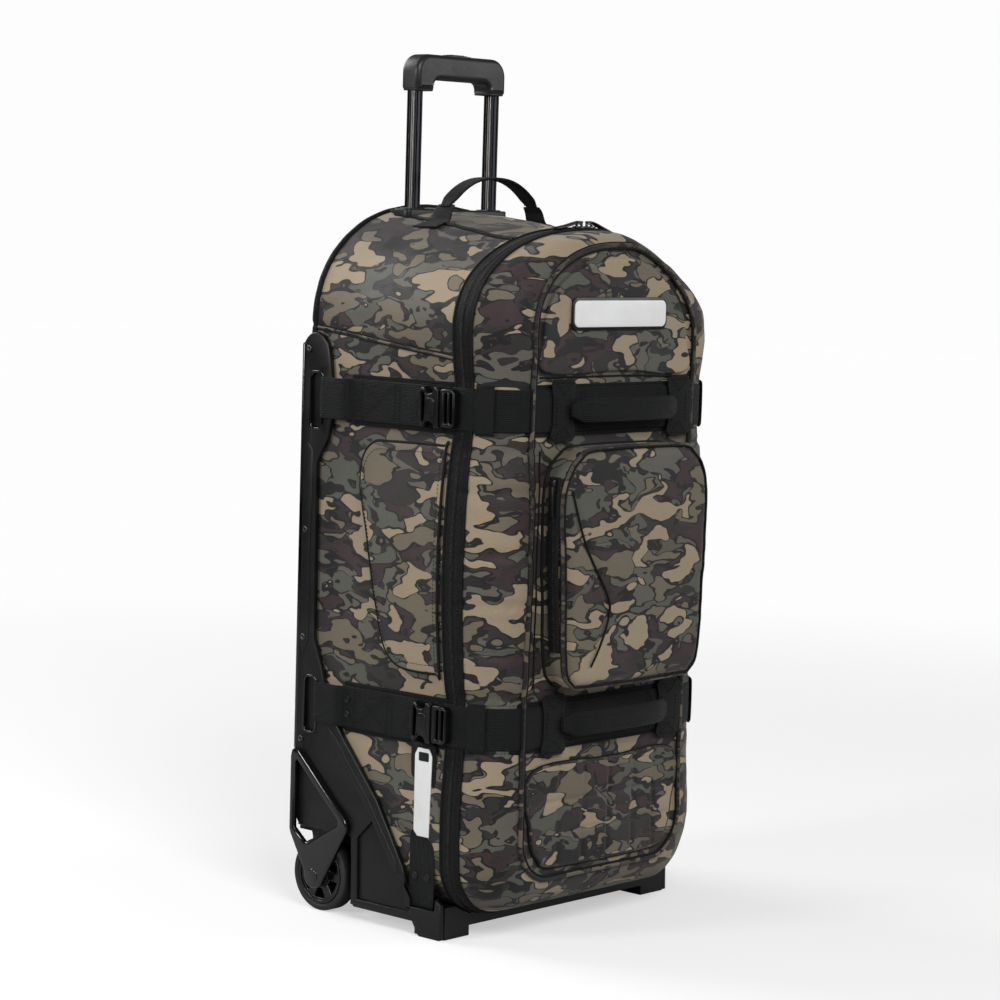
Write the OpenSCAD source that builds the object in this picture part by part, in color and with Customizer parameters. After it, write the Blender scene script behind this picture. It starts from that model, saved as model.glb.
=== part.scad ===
// Rolling gear duffel: a stiff wheeled deck carries a soft shell, a side-hinged
// soft lid with pockets, compression straps and a telescoping pull handle.
// X runs across the bag, the lid faces -Y, the wheels are at the back (+Y).

/* [Bag] */
// Width of the soft shell
shell_w = 400; // [380:1:410]
// Height of the shell's top edge at the back
shell_top = 852; // [830:1:870]
// Drop of the top from the back to the zip
top_drop = 26; // [10:1:35]
// Depth of the whole bag, back deck to front pocket
total_depth = 360; // [355:1:370]
// Depth of the shell behind the zip
tub_depth = 252; // [240:1:260]
// Depth of the lid's rounded edge
lid_depth = 62; // [50:1:70]
// Padded wall of shell and lid
wall = 4; // [3:0.5:5]

/* [Straps] */
// Height of the upper compression strap
strap_hi = 620; // [600:1:640]
// Height of the lower compression strap
strap_lo = 254; // [240:1:270]
// Width of the strap webbing
web_w = 50; // [40:1:52]
// Thickness of the webbing
web_t = 2; // [1.5:0.1:2.2]

/* [Wheels] */
// Radius of the wheel over its tyre
wheel_r = 44; // [40:0.5:44]
// Width of the wheel
wheel_w = 24; // [20:1:24]

/* [Pull handle] */
// Spacing of the two handle tubes
tube_pitch = 137.2; // [120:0.1:150]
// Side of the square sliding tube
tube_s = 14; // [12:0.5:15]
// Height of the top of the grip, pulled out
grip_top = 1033; // [1000:1:1060]
// Travel of the handle
handle_travel = 140; // [100:5:150]

/* [Hidden] */
$fn = 48;

hw = shell_w / 2;
y_back = total_depth / 2;            // back face of the deck, and the wheels' rearmost point
tub_back = y_back - 5;
zip_y = tub_back - tub_depth;        // plane in which shell and lid meet
front_y = zip_y - lid_depth;         // flat front of the lid
base_front = zip_y + 8;              // front of the feet
base_half = 190;                     // half width of the tray
zip_top = shell_top - top_drop;
zip_bottom = 30;
front_top = 808;
front_bottom = 78;
front_hw = 146;
gap = 0.3;                           // air between neighbouring pieces
back_edge = 14;                      // chamfer round the shell's back edge
pocket_depth = y_back + front_y - gap;  // the middle pocket is the front of the bag
arch_power = 2.3;
zip_rise = 126;                      // height of the arch over its springing, at the zip
zip_corner = 60;                     // radius of the bottom corners
tape_t = 1.2;
tape_w = 13;

plate_out = hw + 8;                  // outer face of the side plates
plate_t = 7.5;
wheel_y = y_back - wheel_r;
wheel_out = hw + 5;
wheel_in = wheel_out - wheel_w;
well_in = wheel_in - 3;
well_wall = 4;
well_front = wheel_y - wheel_r - 10;
well_top = 98;
bracket_out = hw + 16;
screw_y = y_back - 11;
screw_heights = [206, 330, 460, 677];
screw_r = 2;
axle_r = 4;
bearing_r = 11;
bearing_w = 7;

band_t = 1.2;
band_w = 60;
band_x = hw + gap;
strap_x = band_x + band_t + gap;
buckle_x = strap_x + web_t + gap;
buckle_out = bracket_out - 1;
slot_y = y_back - 25;                // middle of the strap slots in the side plates
slot_w = 20;
slot_h = web_w + 8;
strap_heights = [strap_lo, strap_hi];
strap_bend = slot_y - 47;            // where the side straps step down from the side plates
rivet_r = 4.5;
rivet_y = slot_y - 66;
corner_strap_y = -33;
corner_strap_w = 40;

tube_x = tube_pitch / 2;
tube_y = y_back - 40;
outer_s = tube_s + 3.4;
tube_wall = 1.2;
tube_floor = 45;                     // bottom of the fixed tubes
inner_bottom = 640;
pin_z = inner_bottom + 15;
grip_drop = 44;                      // height of the grip's sockets
grip_d = 30;
bezel_top = grip_top - grip_drop - handle_travel - 1;
bezel_h = 15;

panel_t = 5;                         // thickness of the flat pockets
badge_w = 172;
badge_x = -10;
badge_h = 38;
badge_r = 8;
badge_z = 731;

slider_l = 17;
slider_gap = 2.4;                    // slider's underside above the shell

// ---------- outlines ----------

// Points of the bag's arch in the XZ plane, anticlockwise from the lower right corner.
function arch_points(half, bottom, top, rise, corner, grow = 0) =
  let (h = half + grow, b = bottom - grow, t = top + grow, c = corner + grow,
       spring = top - rise, r = t - spring)
  concat(
    [for (a = [-90:18:0]) [h - c + c * cos(a), b + c + c * sin(a)]],
    [for (a = [0:11.25:180])
      [h * sign(cos(a)) * pow(abs(cos(a)), 2 / arch_power), spring + r * pow(abs(sin(a)), 2 / arch_power)]],
    [for (a = [180:18:270]) [-(h - c) + c * cos(a), b + c + c * sin(a)]]);

// The shell's outline at depth y, between the zip and the back.
function tub_ring(y, grow = 0) =
  let (k = (y - zip_y) / tub_depth,
       p = arch_points(hw, zip_bottom - 2, zip_top + top_drop * k, zip_rise + 24 * k, zip_corner, grow))
  [for (q = p) [q[0], y, q[1]]];

// The lid's outline at an angle round its rounded edge: 0 at the zip, 90 at the flat front.
function lid_ring(angle, grow = 0) =
  let (a = arch_points(hw, zip_bottom, zip_top, zip_rise, zip_corner, grow),
       b = arch_points(front_hw, front_bottom, front_top, 100, 50, grow),
       k = 1 - cos(angle), y = zip_y - gap - (lid_depth - gap + grow) * sin(angle))
  [for (i = [0:len(a) - 1]) [a[i][0] + (b[i][0] - a[i][0]) * k, y, a[i][1] + (b[i][1] - a[i][1]) * k]];

// The lid's cross-section from the left zip round to the right, for straps at mid height.
function lid_section(grow, first = 0) =
  let (turn = [for (i = [0:12]) first + (90 - first) * i / 12])
  concat([for (a = turn) [-lid_x(a, grow), lid_y(a, grow)]],
         [for (i = [12:-1:0]) [lid_x(turn[i], grow), lid_y(turn[i], grow)]]);
function lid_x(angle, grow) = hw - (hw - front_hw) * (1 - cos(angle)) + grow * cos(angle);
function lid_y(angle, grow) = zip_y - gap - (lid_depth - gap) * sin(angle) - grow * sin(angle);

// A rounded rectangle in the XZ plane, as points.
function panel_points(w0, w1, bottom, top, r_low, r_high) = concat(
  [for (a = [-90:22.5:0]) [w0 - r_low + r_low * cos(a), bottom + r_low + r_low * sin(a)]],
  [for (a = [0:22.5:90]) [w1 - r_high + r_high * cos(a), top - r_high + r_high * sin(a)]],
  [for (a = [90:22.5:180]) [-w1 + r_high + r_high * cos(a), top - r_high + r_high * sin(a)]],
  [for (a = [180:22.5:270]) [-w0 + r_low + r_low * cos(a), bottom + r_low + r_low * sin(a)]]);
function at_y(points, y) = [for (p = points) [p[0], y, p[1]]];
function inset(points, d, cx, cz) =
  [for (p = points) [p[0] - d * sign(p[0] - cx), p[1] - d * sign(p[1] - cz)]];

// ---------- building blocks ----------

// Skins a closed solid over rings of equal length, first ring to last, with flat ends.
module skin(rings) {
  n = len(rings[0]);
  m = len(rings);
  polyhedron(
    points = [for (r = rings) each r],
    faces = concat(
      [[for (i = [n - 1:-1:0]) i]],
      [for (j = [0:m - 2], i = [0:n - 1]) [j * n + i, (j + 1) * n + (i + 1) % n, (j + 1) * n + i]],
      [for (j = [0:m - 2], i = [0:n - 1]) [j * n + i, j * n + (i + 1) % n, (j + 1) * n + (i + 1) % n]],
      [[for (i = [0:n - 1]) (m - 1) * n + i]]),
    convexity = 8);
}

// A flat strip of the given thickness that follows a path in plan, on the path's left side.
function strip_normal(path, i) =
  let (a = path[max(i - 1, 0)], b = path[min(i + 1, len(path) - 1)], d = b - a) [-d[1], d[0]] / norm(d);
module strip(path, thick, z, width) {
  last = len(path) - 1;
  translate([0, 0, z - width / 2]) linear_extrude(width)
    polygon(concat(path, [for (i = [last:-1:0]) path[i] + thick * strip_normal(path, i)]));
}

// Children drawn on the left side, or mirrored to the right side.
module on_side(side) { if (side < 0) children(); else mirror([1, 0, 0]) children(); }
module both_sides() for (side = [-1, 1]) on_side(side) children();

// A plate in the YZ plane from x0 to x1.
module side_slab(x0, x1) translate([x0, 0, 0]) rotate([90, 0, 90]) linear_extrude(x1 - x0) children();
module box(x0, x1, y0, y1, z0, z1) translate([x0, y0, z0]) cube([x1 - x0, y1 - y0, z1 - z0]);
module rod_x(x0, x1, r) translate([x0, 0, 0]) rotate([0, 90, 0]) cylinder(r = r, h = x1 - x0);

// ---------- soft shell ----------

module body_shell() color([0.30, 0.29, 0.24]) difference() {
  skin([tub_ring(zip_y), tub_ring(tub_back - back_edge), tub_ring(tub_back, -back_edge)]);
  skin([tub_ring(zip_y - 1, -wall), tub_ring(tub_back - back_edge - 0.42 * wall, -wall),
        tub_ring(tub_back - wall, -back_edge - 0.42 * wall)]);
  box(-90 - gap, 90 + gap, tube_y - 14 - gap, tube_y + 14 + gap, 800, 900);
  both_sides() box(-hw - 20, -well_in + well_wall + gap, well_front - gap, y_back + 20, -1, well_top + gap);
}

module base_board() color([0.12, 0.12, 0.13])
  box(-128, 128, zip_y + 8, tube_y - 18, zip_bottom - 2 + wall + gap, zip_bottom + wall + 2);

module foam_divider() color([0.16, 0.16, 0.17]) box(-195, 195, zip_y + 20, tube_y - 18, 430, 438);

module side_pocket_pad() {
  outline = concat(
    [for (a = [180:30:270]) [-2 + 40 * cos(a) * -1, 352 + 40 * sin(a)]],
    [[-56, 312], [-56, 574]],
    [for (a = [90:-30:0]) [34 + 48 * cos(a), 526 + 48 * sin(a)]]);
  x0 = -hw - gap;
  skin([[for (p = outline) [x0, p[0], p[1]]], [for (p = outline) [x0 - 4, p[0], p[1]]],
        [for (p = outline) [x0 - 6, 10 + (p[0] - 10) * 0.92, 443 + (p[1] - 443) * 0.95]]]);
}
module side_pockets() color([0.27, 0.26, 0.22]) both_sides() side_pocket_pad();

module body_zip_tape() color([0.05, 0.05, 0.055])
  skin_band(tub_ring(zip_y + gap, gap), tub_ring(zip_y + tape_w, gap),
            tub_ring(zip_y + tape_w, gap + tape_t), tub_ring(zip_y + gap, gap + tape_t));

// A closed hoop through four rings: its inner and outer edges at both ends.
module skin_band(a, b, c, d) {
  n = len(a);
  quad = function(p, q) [for (i = [0:n - 1]) each [[p * n + i, q * n + (i + 1) % n, q * n + i],
                                                  [p * n + i, p * n + (i + 1) % n, q * n + (i + 1) % n]]];
  polyhedron(points = concat(a, b, c, d), faces = concat(quad(1, 0), quad(2, 1), quad(3, 2), quad(0, 3)),
             convexity = 8);
}

// ---------- deck ----------

// Moulded tray under the shell, ribbed from below into four by three cells, with its two front feet.
tray_wall = 3;
tray_top = zip_bottom - 2 - gap;
foot_l = 48;
foot_in = 158;
foot_out = plate_out - plate_t - gap;
cell_x = (2 * base_half - tray_wall) / 4;
cell_y = (tub_back - base_front - tray_wall) / 3;
module base_tray() color([0.09, 0.09, 0.095]) {
  difference() {
    box(-base_half, base_half, base_front, tub_back, 12, tray_top);
    for (i = [0:3], j = [0:2])
      translate([-base_half + tray_wall + i * cell_x, base_front + tray_wall + j * cell_y, 11])
        cube([cell_x - tray_wall, cell_y - tray_wall, tray_top - tray_wall - 11]);
    both_sides() box(-hw - 20, -well_in + well_wall + gap, well_front - gap, y_back + 20, -1, 60);
    both_sides() box(-hw - 20, -foot_in - 2, base_front - 1, base_front + foot_l, -1, 60);
    box(-hw, hw, base_front - 1, zip_y + tape_w + gap, tray_top - gap - tape_t, tray_top + 1);
  }
  both_sides() translate([0, base_front + foot_l, 0]) rotate([90, 0, 0]) linear_extrude(foot_l)
    polygon([[-foot_out, 0], [-foot_in, 0], [-foot_in, 26], [-182, 38], [-foot_out, 38]]);
}

// Outline of a side plate in Y and Z: rail, strap lobes, diagonal brace and foot.
plate_outline = concat(
  [[base_front, 0], [base_front + 36, 0], [base_front + 46, 16], [wheel_y - 60, 16], [wheel_y - 55, 100],
   [y_back - 12, 100], [y_back - 3, 112], [y_back, 130]],
  [[y_back, shell_top - 176]],
  [for (a = [15:25:90]) [y_back - 22 + 22 * cos(a), shell_top - 177 + 22 * sin(a)]],
  [[slot_y - 16, 684], [slot_y - 24, 640], [slot_y - 26, 600], [slot_y - 19, 572], [y_back - 26, 545],
   [y_back - 28, 330], [slot_y - 17, 296], [slot_y - 24, 270], [slot_y - 32, 246], [y_back - 84, 214],
   [y_back - 140, 150], [base_front + 58, 66], [base_front + 57, 33], [base_front + 11, 33],
   [base_front + 10, 50], [base_front, 40]]);

module side_plate() {
  x0 = -plate_out;
  x1 = -plate_out + plate_t;
  difference() {
    side_slab(x0, x1) polygon(plate_outline);
    for (z = strap_heights)
      box(x0 - 1, x1 + 1, slot_y - slot_w / 2, slot_y + slot_w / 2, z - slot_h / 2 - 8, z + slot_h / 2);
    translate([0, wheel_y, wheel_r]) rod_x(x0 - 1, x1 + 1, wheel_r + 5);
    side_slab(x0 - 1, x0 + 3)
      polygon([[wheel_y - 68, 24], [-20, 24], [-20, 42], [44, 128], [wheel_y - 64, 100]]);
    for (z = screw_heights) translate([0, screw_y, z]) rod_x(x0 - 1, x1 + 1, screw_r + 0.05);
  }
}
module side_plate_left() color([0.08, 0.08, 0.085]) on_side(-1) side_plate();
module side_plate_right() color([0.08, 0.08, 0.085]) on_side(1) side_plate();

module plate_screws() color([0.35, 0.35, 0.36]) both_sides() for (z = screw_heights)
  translate([0, screw_y, z]) {
    rod_x(-plate_out - 1.8, -plate_out, 4);
    rod_x(-plate_out, -plate_out + plate_t, screw_r);
  }

module back_deck() color([0.10, 0.10, 0.105]) difference() {
  union() {
    box(-hw, hw, tub_back + gap, y_back - 1.5, 16, 690);
    for (x = [-150, -50, 50, 150]) box(x - 4, x + 4, y_back - 1.5, y_back, 20, 680);
    for (z = [180, 400, 600]) box(-150, 150, y_back - 1.5, y_back, z, z + 6);
  }
  both_sides() box(-hw - 1, -well_in + well_wall + gap, tub_back - 5, y_back + 1, 0, well_top + gap);
}

module wheel_wells() color([0.07, 0.07, 0.075]) both_sides() difference() {
  box(-hw, -well_in + well_wall, well_front, tub_back, 16, well_top);
  box(-hw - 1, -well_in, well_front + well_wall, y_back + 1, 0, well_top - well_wall);
  translate([0, wheel_y, wheel_r]) rod_x(-well_in - 1, -well_in + well_wall + 1, axle_r + 0.02);
}

// Glossy outer wheel carrier: a triangle that runs down to the axle boss.
module wheel_bracket() {
  x0 = -bracket_out;
  x1 = -plate_out - gap;
  difference() {
    side_slab(x0, x1) difference() {
      union() {
        polygon([[y_back - 1, 92], [y_back - 1, 188], [y_back - 8, 196], [y_back - 16, 193],
                 [wheel_y - 53, 118], [wheel_y - 56, 106], [wheel_y - 13, wheel_r - 9],
                 [wheel_y + 13, wheel_r - 9]]);
        translate([wheel_y, wheel_r]) circle(r = 16);
      }
      polygon([[y_back - 12, 166], [wheel_y - 34, 114], [wheel_y + 16, 90], [y_back - 12, 100]]);
    }
    translate([0, wheel_y, wheel_r]) rod_x(x0 - 1, x1 + 1, axle_r + 0.02);
  }
}
module wheel_bracket_left() color([0.03, 0.03, 0.035]) on_side(-1) wheel_bracket();
module wheel_bracket_right() color([0.03, 0.03, 0.035]) on_side(1) wheel_bracket();

module axles() color([0.6, 0.6, 0.62]) both_sides()
  translate([0, wheel_y, wheel_r]) rod_x(-bracket_out, -well_in + well_wall, axle_r);

// ---------- wheels ----------

tyre_in = wheel_r - 9;

module wheel() translate([0, wheel_y, wheel_r]) {
  difference() {
    union() {
      difference() {
        rod_x(-wheel_out + 1.5, -wheel_in - 1.5, tyre_in);
        rod_x(-wheel_out, -wheel_in, tyre_in - 5);
      }
      rod_x(-wheel_out + 1.5, -wheel_in - 1.5, bearing_r + 3);
      for (i = [0:5]) rotate([i * 60, 0, 0])
        box(-wheel_out + 4, -wheel_in - 4, -3.5, 3.5, bearing_r + 1, tyre_in - 4);
    }
    rod_x(-wheel_out, -wheel_in, axle_r + 2);
    rod_x(-wheel_out, -wheel_out + 1.5 + bearing_w, bearing_r + 0.02);
    rod_x(-wheel_in - 1.5 - bearing_w, -wheel_in, bearing_r + 0.02);
  }
}
module wheel_left() color([0.04, 0.04, 0.045]) on_side(-1) wheel();
module wheel_right() color([0.04, 0.04, 0.045]) on_side(1) wheel();

module tyre() translate([-wheel_out, wheel_y, wheel_r]) rotate([0, 90, 0]) rotate_extrude()
  polygon([[tyre_in + 0.05, 1.5], [wheel_r - 5, 0], [wheel_r - 1.5, 2.5], [wheel_r, 7],
           [wheel_r, wheel_w - 7], [wheel_r - 1.5, wheel_w - 2.5], [wheel_r - 5, wheel_w],
           [tyre_in + 0.05, wheel_w - 1.5]]);
module tyre_left() color([0.12, 0.13, 0.12]) on_side(-1) tyre();
module tyre_right() color([0.12, 0.13, 0.12]) on_side(1) tyre();

module bearings() translate([0, wheel_y, wheel_r]) for (x = [-wheel_out + 1.6, -wheel_in - 1.4 - bearing_w])
  difference() {
    rod_x(x, x + bearing_w - 0.1, bearing_r);
    rod_x(x - 1, x + bearing_w + 1, axle_r + 0.05);
  }
module bearings_left() color([0.7, 0.7, 0.72]) on_side(-1) bearings();
module bearings_right() color([0.7, 0.7, 0.72]) on_side(1) bearings();

// ---------- straps on the shell ----------

module side_bands() color([0.05, 0.05, 0.055]) both_sides() for (z = strap_heights)
  box(-band_x - band_t, -band_x, zip_y + tape_w + 1, strap_bend - 6, z - band_w / 2, z + band_w / 2);

// One side strap: from the plate's slot, over its front bar and forward along the band.
module side_strap(front_end, z) {
  bar = slot_y - slot_w / 2;
  strip([[-plate_out + 5, bar + 3.5], [-plate_out - gap, bar + 2.6], [-plate_out - gap, strap_bend],
         [-strap_x, strap_bend - 8], [-strap_x, front_end]], -web_t, z, web_w - 2);
}
module side_straps() color([0.04, 0.045, 0.05]) for (z = strap_heights) {
  on_side(-1) side_strap(socket_back - 6, z);
  on_side(1) side_strap(zip_y + 14, z);
}

module rivet_head(y, z) translate([0, y, z]) rod_x(-strap_x - web_t - 1.6, -strap_x - web_t, rivet_r);
module strap_rivets() color([0.10, 0.10, 0.10]) {
  both_sides() for (z = strap_heights, dz = [-9, 9]) rivet_head(rivet_y, z + dz);
  both_sides() for (dy = [-10, 10]) rivet_head(corner_strap_y + dy, 70);
}

module corner_straps() color([0.04, 0.045, 0.05]) both_sides()
  box(-strap_x - web_t, -strap_x, corner_strap_y - corner_strap_w / 2, corner_strap_y + corner_strap_w / 2,
      34, strap_lo - web_w / 2 - 0.5);

module id_tag() color([0.92, 0.93, 0.94])
  side_slab(-strap_x - web_t - gap - 1, -strap_x - web_t - gap)
    polygon([[-44, 118], [-46, 214], [-42, 222], [-24, 222], [-20, 214], [-20, 124], [-26, 118]]);

// ---------- buckles ----------

// Socket half, fixed to the shell's strap; its mouth faces the lid.
socket_back = -18;
socket_front = -50;
module buckle_socket(z) translate([0, 0, z]) difference() {
  box(-buckle_out, -buckle_x, socket_front, socket_back, -23.5, 23.5);
  box(-buckle_out + 2.2, -buckle_x - 2, socket_front - 1, socket_back - 5, -18, 18);
  for (s = [-1, 1]) translate([0, (socket_front + socket_back) / 2, s * 23.5])
    rod_x(-buckle_out - 1, -buckle_x + 1, 8);
}
module buckle_sockets() color([0.06, 0.06, 0.065]) for (z = strap_heights) buckle_socket(z);

// Plug half: body with a webbing slot, two side prongs and a guide tongue.
plug_front = -74;
module buckle_plug(z) translate([0, 0, z]) {
  difference() {
    box(-buckle_out + 0.6, -buckle_x, plug_front, socket_front - gap, -22, 22);
    box(-buckle_out - 1, -buckle_x + 1, plug_front + 4, plug_front + 9, -18.5, 18.5);
  }
  box(-buckle_out + 3, -buckle_x - 2.6, socket_front - gap, socket_back - 7, -2.5, 2.5);
  for (s = [-1, 1]) translate([0, 0, s * 12])
    box(-buckle_out + 3, -buckle_x - 2.6, socket_front - gap, socket_back - 8, -3, 3);
}
module buckle_plug_upper() color([0.06, 0.06, 0.065]) buckle_plug(strap_hi);
module buckle_plug_lower() color([0.06, 0.06, 0.065]) buckle_plug(strap_lo);

// ---------- pull handle ----------

module at_tubes() for (s = [-1, 1]) translate([s * tube_x, tube_y, 0]) children();
module square_bar(side, z0, z1) translate([-side / 2, -side / 2, z0]) cube([side, side, z1 - z0]);

module outer_tubes() color([0.45, 0.45, 0.46]) at_tubes() difference() {
  square_bar(outer_s, tube_floor, bezel_top - 2);
  square_bar(tube_s + 0.6, tube_floor - 1, bezel_top);
  translate([0, 0, pin_z]) rotate([0, 90, 0]) cylinder(r = 2.8, h = 2 * outer_s, center = true);
}
module inner_tube() difference() {
  square_bar(tube_s, inner_bottom, grip_top - 22);
  square_bar(tube_s - 2 * tube_wall, inner_bottom - 1, grip_top);
  translate([0, 0, pin_z]) rotate([0, 90, 0]) cylinder(r = 2.55, h = tube_s);
}
module inner_tube_left() color([0.5, 0.5, 0.52])
  translate([-tube_x, tube_y, 0]) mirror([1, 0, 0]) inner_tube();
module inner_tube_right() color([0.5, 0.5, 0.52]) translate([tube_x, tube_y, 0]) inner_tube();

module tube_end_plugs() color([0.08, 0.08, 0.08]) at_tubes() difference() {
  square_bar(tube_s - 2 * tube_wall - 0.1, inner_bottom, inner_bottom + 28);
  translate([0, 0, pin_z]) rotate([0, 90, 0]) cylinder(r = 2.55, h = tube_s * 2, center = true);
}
module lock_pin() translate([-tube_x, tube_y, pin_z]) rod_x(-tube_s / 2, 1, 2.5);
module lock_pin_left() color([0.7, 0.7, 0.72]) lock_pin();
module lock_pin_right() color([0.7, 0.7, 0.72]) mirror([1, 0, 0]) lock_pin();

module tube_mounts() color([0.08, 0.08, 0.08]) difference() {
  for (s = [-1, 1]) translate([s * tube_x, 0, 0]) {
    box(-16, 16, tube_y - 14, tube_y + 14, zip_bottom - 2 + wall + gap, 60);
    for (z = [300, 560]) box(-16, 16, tube_y - 14, tub_back - wall - gap, z, z + 20);
  }
  at_tubes() square_bar(outer_s + 0.1, tube_floor, bezel_top);
}
module tube_tunnel() color([0.14, 0.14, 0.15])
  box(-94, 94, tube_y - 17.5, tube_y - 14.5, zip_bottom + 3, 826);

module handle_bezel() color([0.06, 0.06, 0.065]) difference() {
  box(-90, 90, tube_y - 14, tube_y + 14, bezel_top - bezel_h, bezel_top);
  at_tubes() square_bar(outer_s + 0.1, bezel_top - bezel_h - 1, bezel_top - 2);
  at_tubes() square_bar(tube_s + 0.6, bezel_top - 3, bezel_top + 1);
}

grip_bar = 30;
grip_hw = 79;
socket_w = 30.5;
button_l = 36;
button_d = 14;
module grip_profile() {
  difference() {
    union() {
      translate([-grip_hw, -grip_drop]) square([socket_w, grip_drop - 22]);
      translate([grip_hw - socket_w, -grip_drop]) square([socket_w, grip_drop - 22]);
      translate([-grip_hw + 22, -grip_bar]) square([2 * grip_hw - 44, grip_bar]);
      translate([-grip_hw, -grip_drop + 10]) square([socket_w, 12]);
      translate([grip_hw - socket_w, -grip_drop + 10]) square([socket_w, 12]);
      for (s = [-1, 1]) translate([s * (grip_hw - 22), -22]) circle(r = 22);
    }
    for (s = [-1, 1]) translate([s * (grip_hw - socket_w - 9), -grip_bar - 9]) circle(r = 9);
  }
}
module handle_grip() color([0.13, 0.13, 0.14]) difference() {
  translate([0, tube_y + grip_d / 2, grip_top]) rotate([90, 0, 0]) linear_extrude(grip_d) grip_profile();
  at_tubes() square_bar(tube_s + 0.1, grip_top - grip_drop - 1, grip_top - 22);
  box(-tube_x - 4, tube_x + 4, tube_y - 4, tube_y + 4, grip_top - 22.5, grip_top - 8);
  box(-button_l / 2 - gap, button_l / 2 + gap, tube_y - button_d / 2 - gap, tube_y + button_d / 2 + gap,
      grip_top - 10, grip_top + 1);
  for (s = [-1, 1]) translate([s * (grip_hw - socket_w + 4), tube_y - grip_d / 2, grip_top - 36])
    rotate([90, 0, 0]) cylinder(r = 1.55, h = 24, center = true);
}
module grip_screws() color([0.2, 0.2, 0.2]) for (s = [-1, 1])
  translate([s * (grip_hw - socket_w + 4), tube_y - grip_d / 2, grip_top - 36])
    rotate([-90, 0, 0]) cylinder(r = 1.5, h = 12);

module release_button() color([0.03, 0.03, 0.035])
  box(-button_l / 2, button_l / 2, tube_y - button_d / 2, tube_y + button_d / 2,
      grip_top - 5, grip_top + 1.5);
module release_rods() color([0.6, 0.6, 0.62]) {
  box(-tube_x - 3, tube_x + 3, tube_y - 3, tube_y + 3, grip_top - 14, grip_top - 10);
  box(-6, 6, tube_y - 3, tube_y + 3, grip_top - 10, grip_top - 5);
  at_tubes() translate([0, 0, rod_bottom]) cylinder(r = 2, h = grip_top - 14 - rod_bottom);
}
rod_bottom = inner_bottom + 28 + 5;

// Return spring under the button's cross bar: wire, coil radius, height and turns.
spring_wire = 0.6;
spring_coil = 2.6;
spring_turns = 4;
module button_spring() color([0.7, 0.7, 0.72])
  translate([0, tube_y, grip_top - 22.4])
    linear_extrude(7.6, twist = -360 * spring_turns, slices = 16 * spring_turns)
    translate([spring_coil, 0]) circle(r = spring_wire, $fn = 8);

// ---------- lid ----------

module lid_shell() color([0.30, 0.29, 0.24])
  skin(concat([for (a = [90:-15:0]) lid_ring(a)], [for (a = [0:30:90]) lid_ring(a, -wall)]));

tape_angle = asin(tape_w / lid_depth);
module lid_zip_tape() color([0.05, 0.05, 0.055])
  skin_band(lid_ring(tape_angle, gap), lid_ring(0, gap),
            lid_ring(0, gap + tape_t), lid_ring(tape_angle, gap + tape_t));

// Rings of a flat pad on the lid's front with its edge rounded over, front ring first.
function pad_rings(points, depth, edge, cx, cz) =
  [at_y(inset(points, edge * 0.8, cx, cz), front_y - gap - depth),
   at_y(points, front_y - gap - depth + edge), at_y(points, front_y - gap)];
module front_pad(points, depth, edge, cx, cz) skin(pad_rings(points, depth, edge, cx, cz));
upper_hw = 138;
upper_z = 662;
module upper_pocket() color([0.28, 0.27, 0.23])
  front_pad(concat([[upper_hw, upper_z]], [for (a = [0:15:180])
    [upper_hw * sign(cos(a)) * pow(abs(cos(a)), 2 / arch_power),
     704 + 96 * pow(abs(sin(a)), 2 / arch_power)]],
    [[-upper_hw, upper_z]]), panel_t, 3, 0, 700);
module middle_pocket() color([0.30, 0.29, 0.24]) {
  inner = pad_rings(panel_points(117, 127, 302, 575, 36, 54), pocket_depth - 3, 12, 0, 440);
  outer = pad_rings(panel_points(120, 130, 299, 578, 38, 56), pocket_depth, 12, 0, 440);
  skin(concat(outer, [for (i = [2:-1:0]) inner[i]]));
}
module lower_pocket() color([0.26, 0.25, 0.21])
  front_pad(panel_points(136, 136, 86, 203, 44, 4), panel_t, 3, 0, 150);

module pocket_zip() color([0.04, 0.04, 0.045])
  translate([-130 - gap, front_y, 0]) box(-1.4, 0, -31, -17, 380, 520);

module badge() color([0.9, 0.9, 0.9])
  translate([badge_x, front_y - gap - panel_t - 0.1, badge_z]) rotate([90, 0, 0]) linear_extrude(2.5) {
    square([badge_w - 2 * badge_r, badge_h], center = true);
    square([badge_w, badge_h - 2 * badge_r], center = true);
    for (x = [-1, 1], z = [-1, 1])
      translate([x * (badge_w / 2 - badge_r), z * (badge_h / 2 - badge_r)]) circle(r = badge_r);
  }

module front_bands() color([0.05, 0.05, 0.055]) for (z = strap_heights)
  strip(lid_section(gap, 16), -band_t, z, band_w);

module front_strap(z) {
  x = -strap_x;
  around = lid_section(strap_x - hw, 28);
  strip(concat([[x, zip_y + 10], [x, zip_y - 12]], around), -web_t, z, web_w - 2);
}
module front_straps() color([0.04, 0.045, 0.05]) for (z = strap_heights) front_strap(z);

// Webbing tabs that hold the haul grips, over the front straps.
tab_x = 105;
tab_w = 44;
tab_y = front_y - (strap_x - hw) - web_t - gap;
module haul_tabs() color([0.04, 0.045, 0.05]) for (z = strap_heights, s = [-1, 1])
  box(s * tab_x - tab_w / 2, s * tab_x + tab_w / 2, tab_y - 2, tab_y, z - 36, z + 36);

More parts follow.
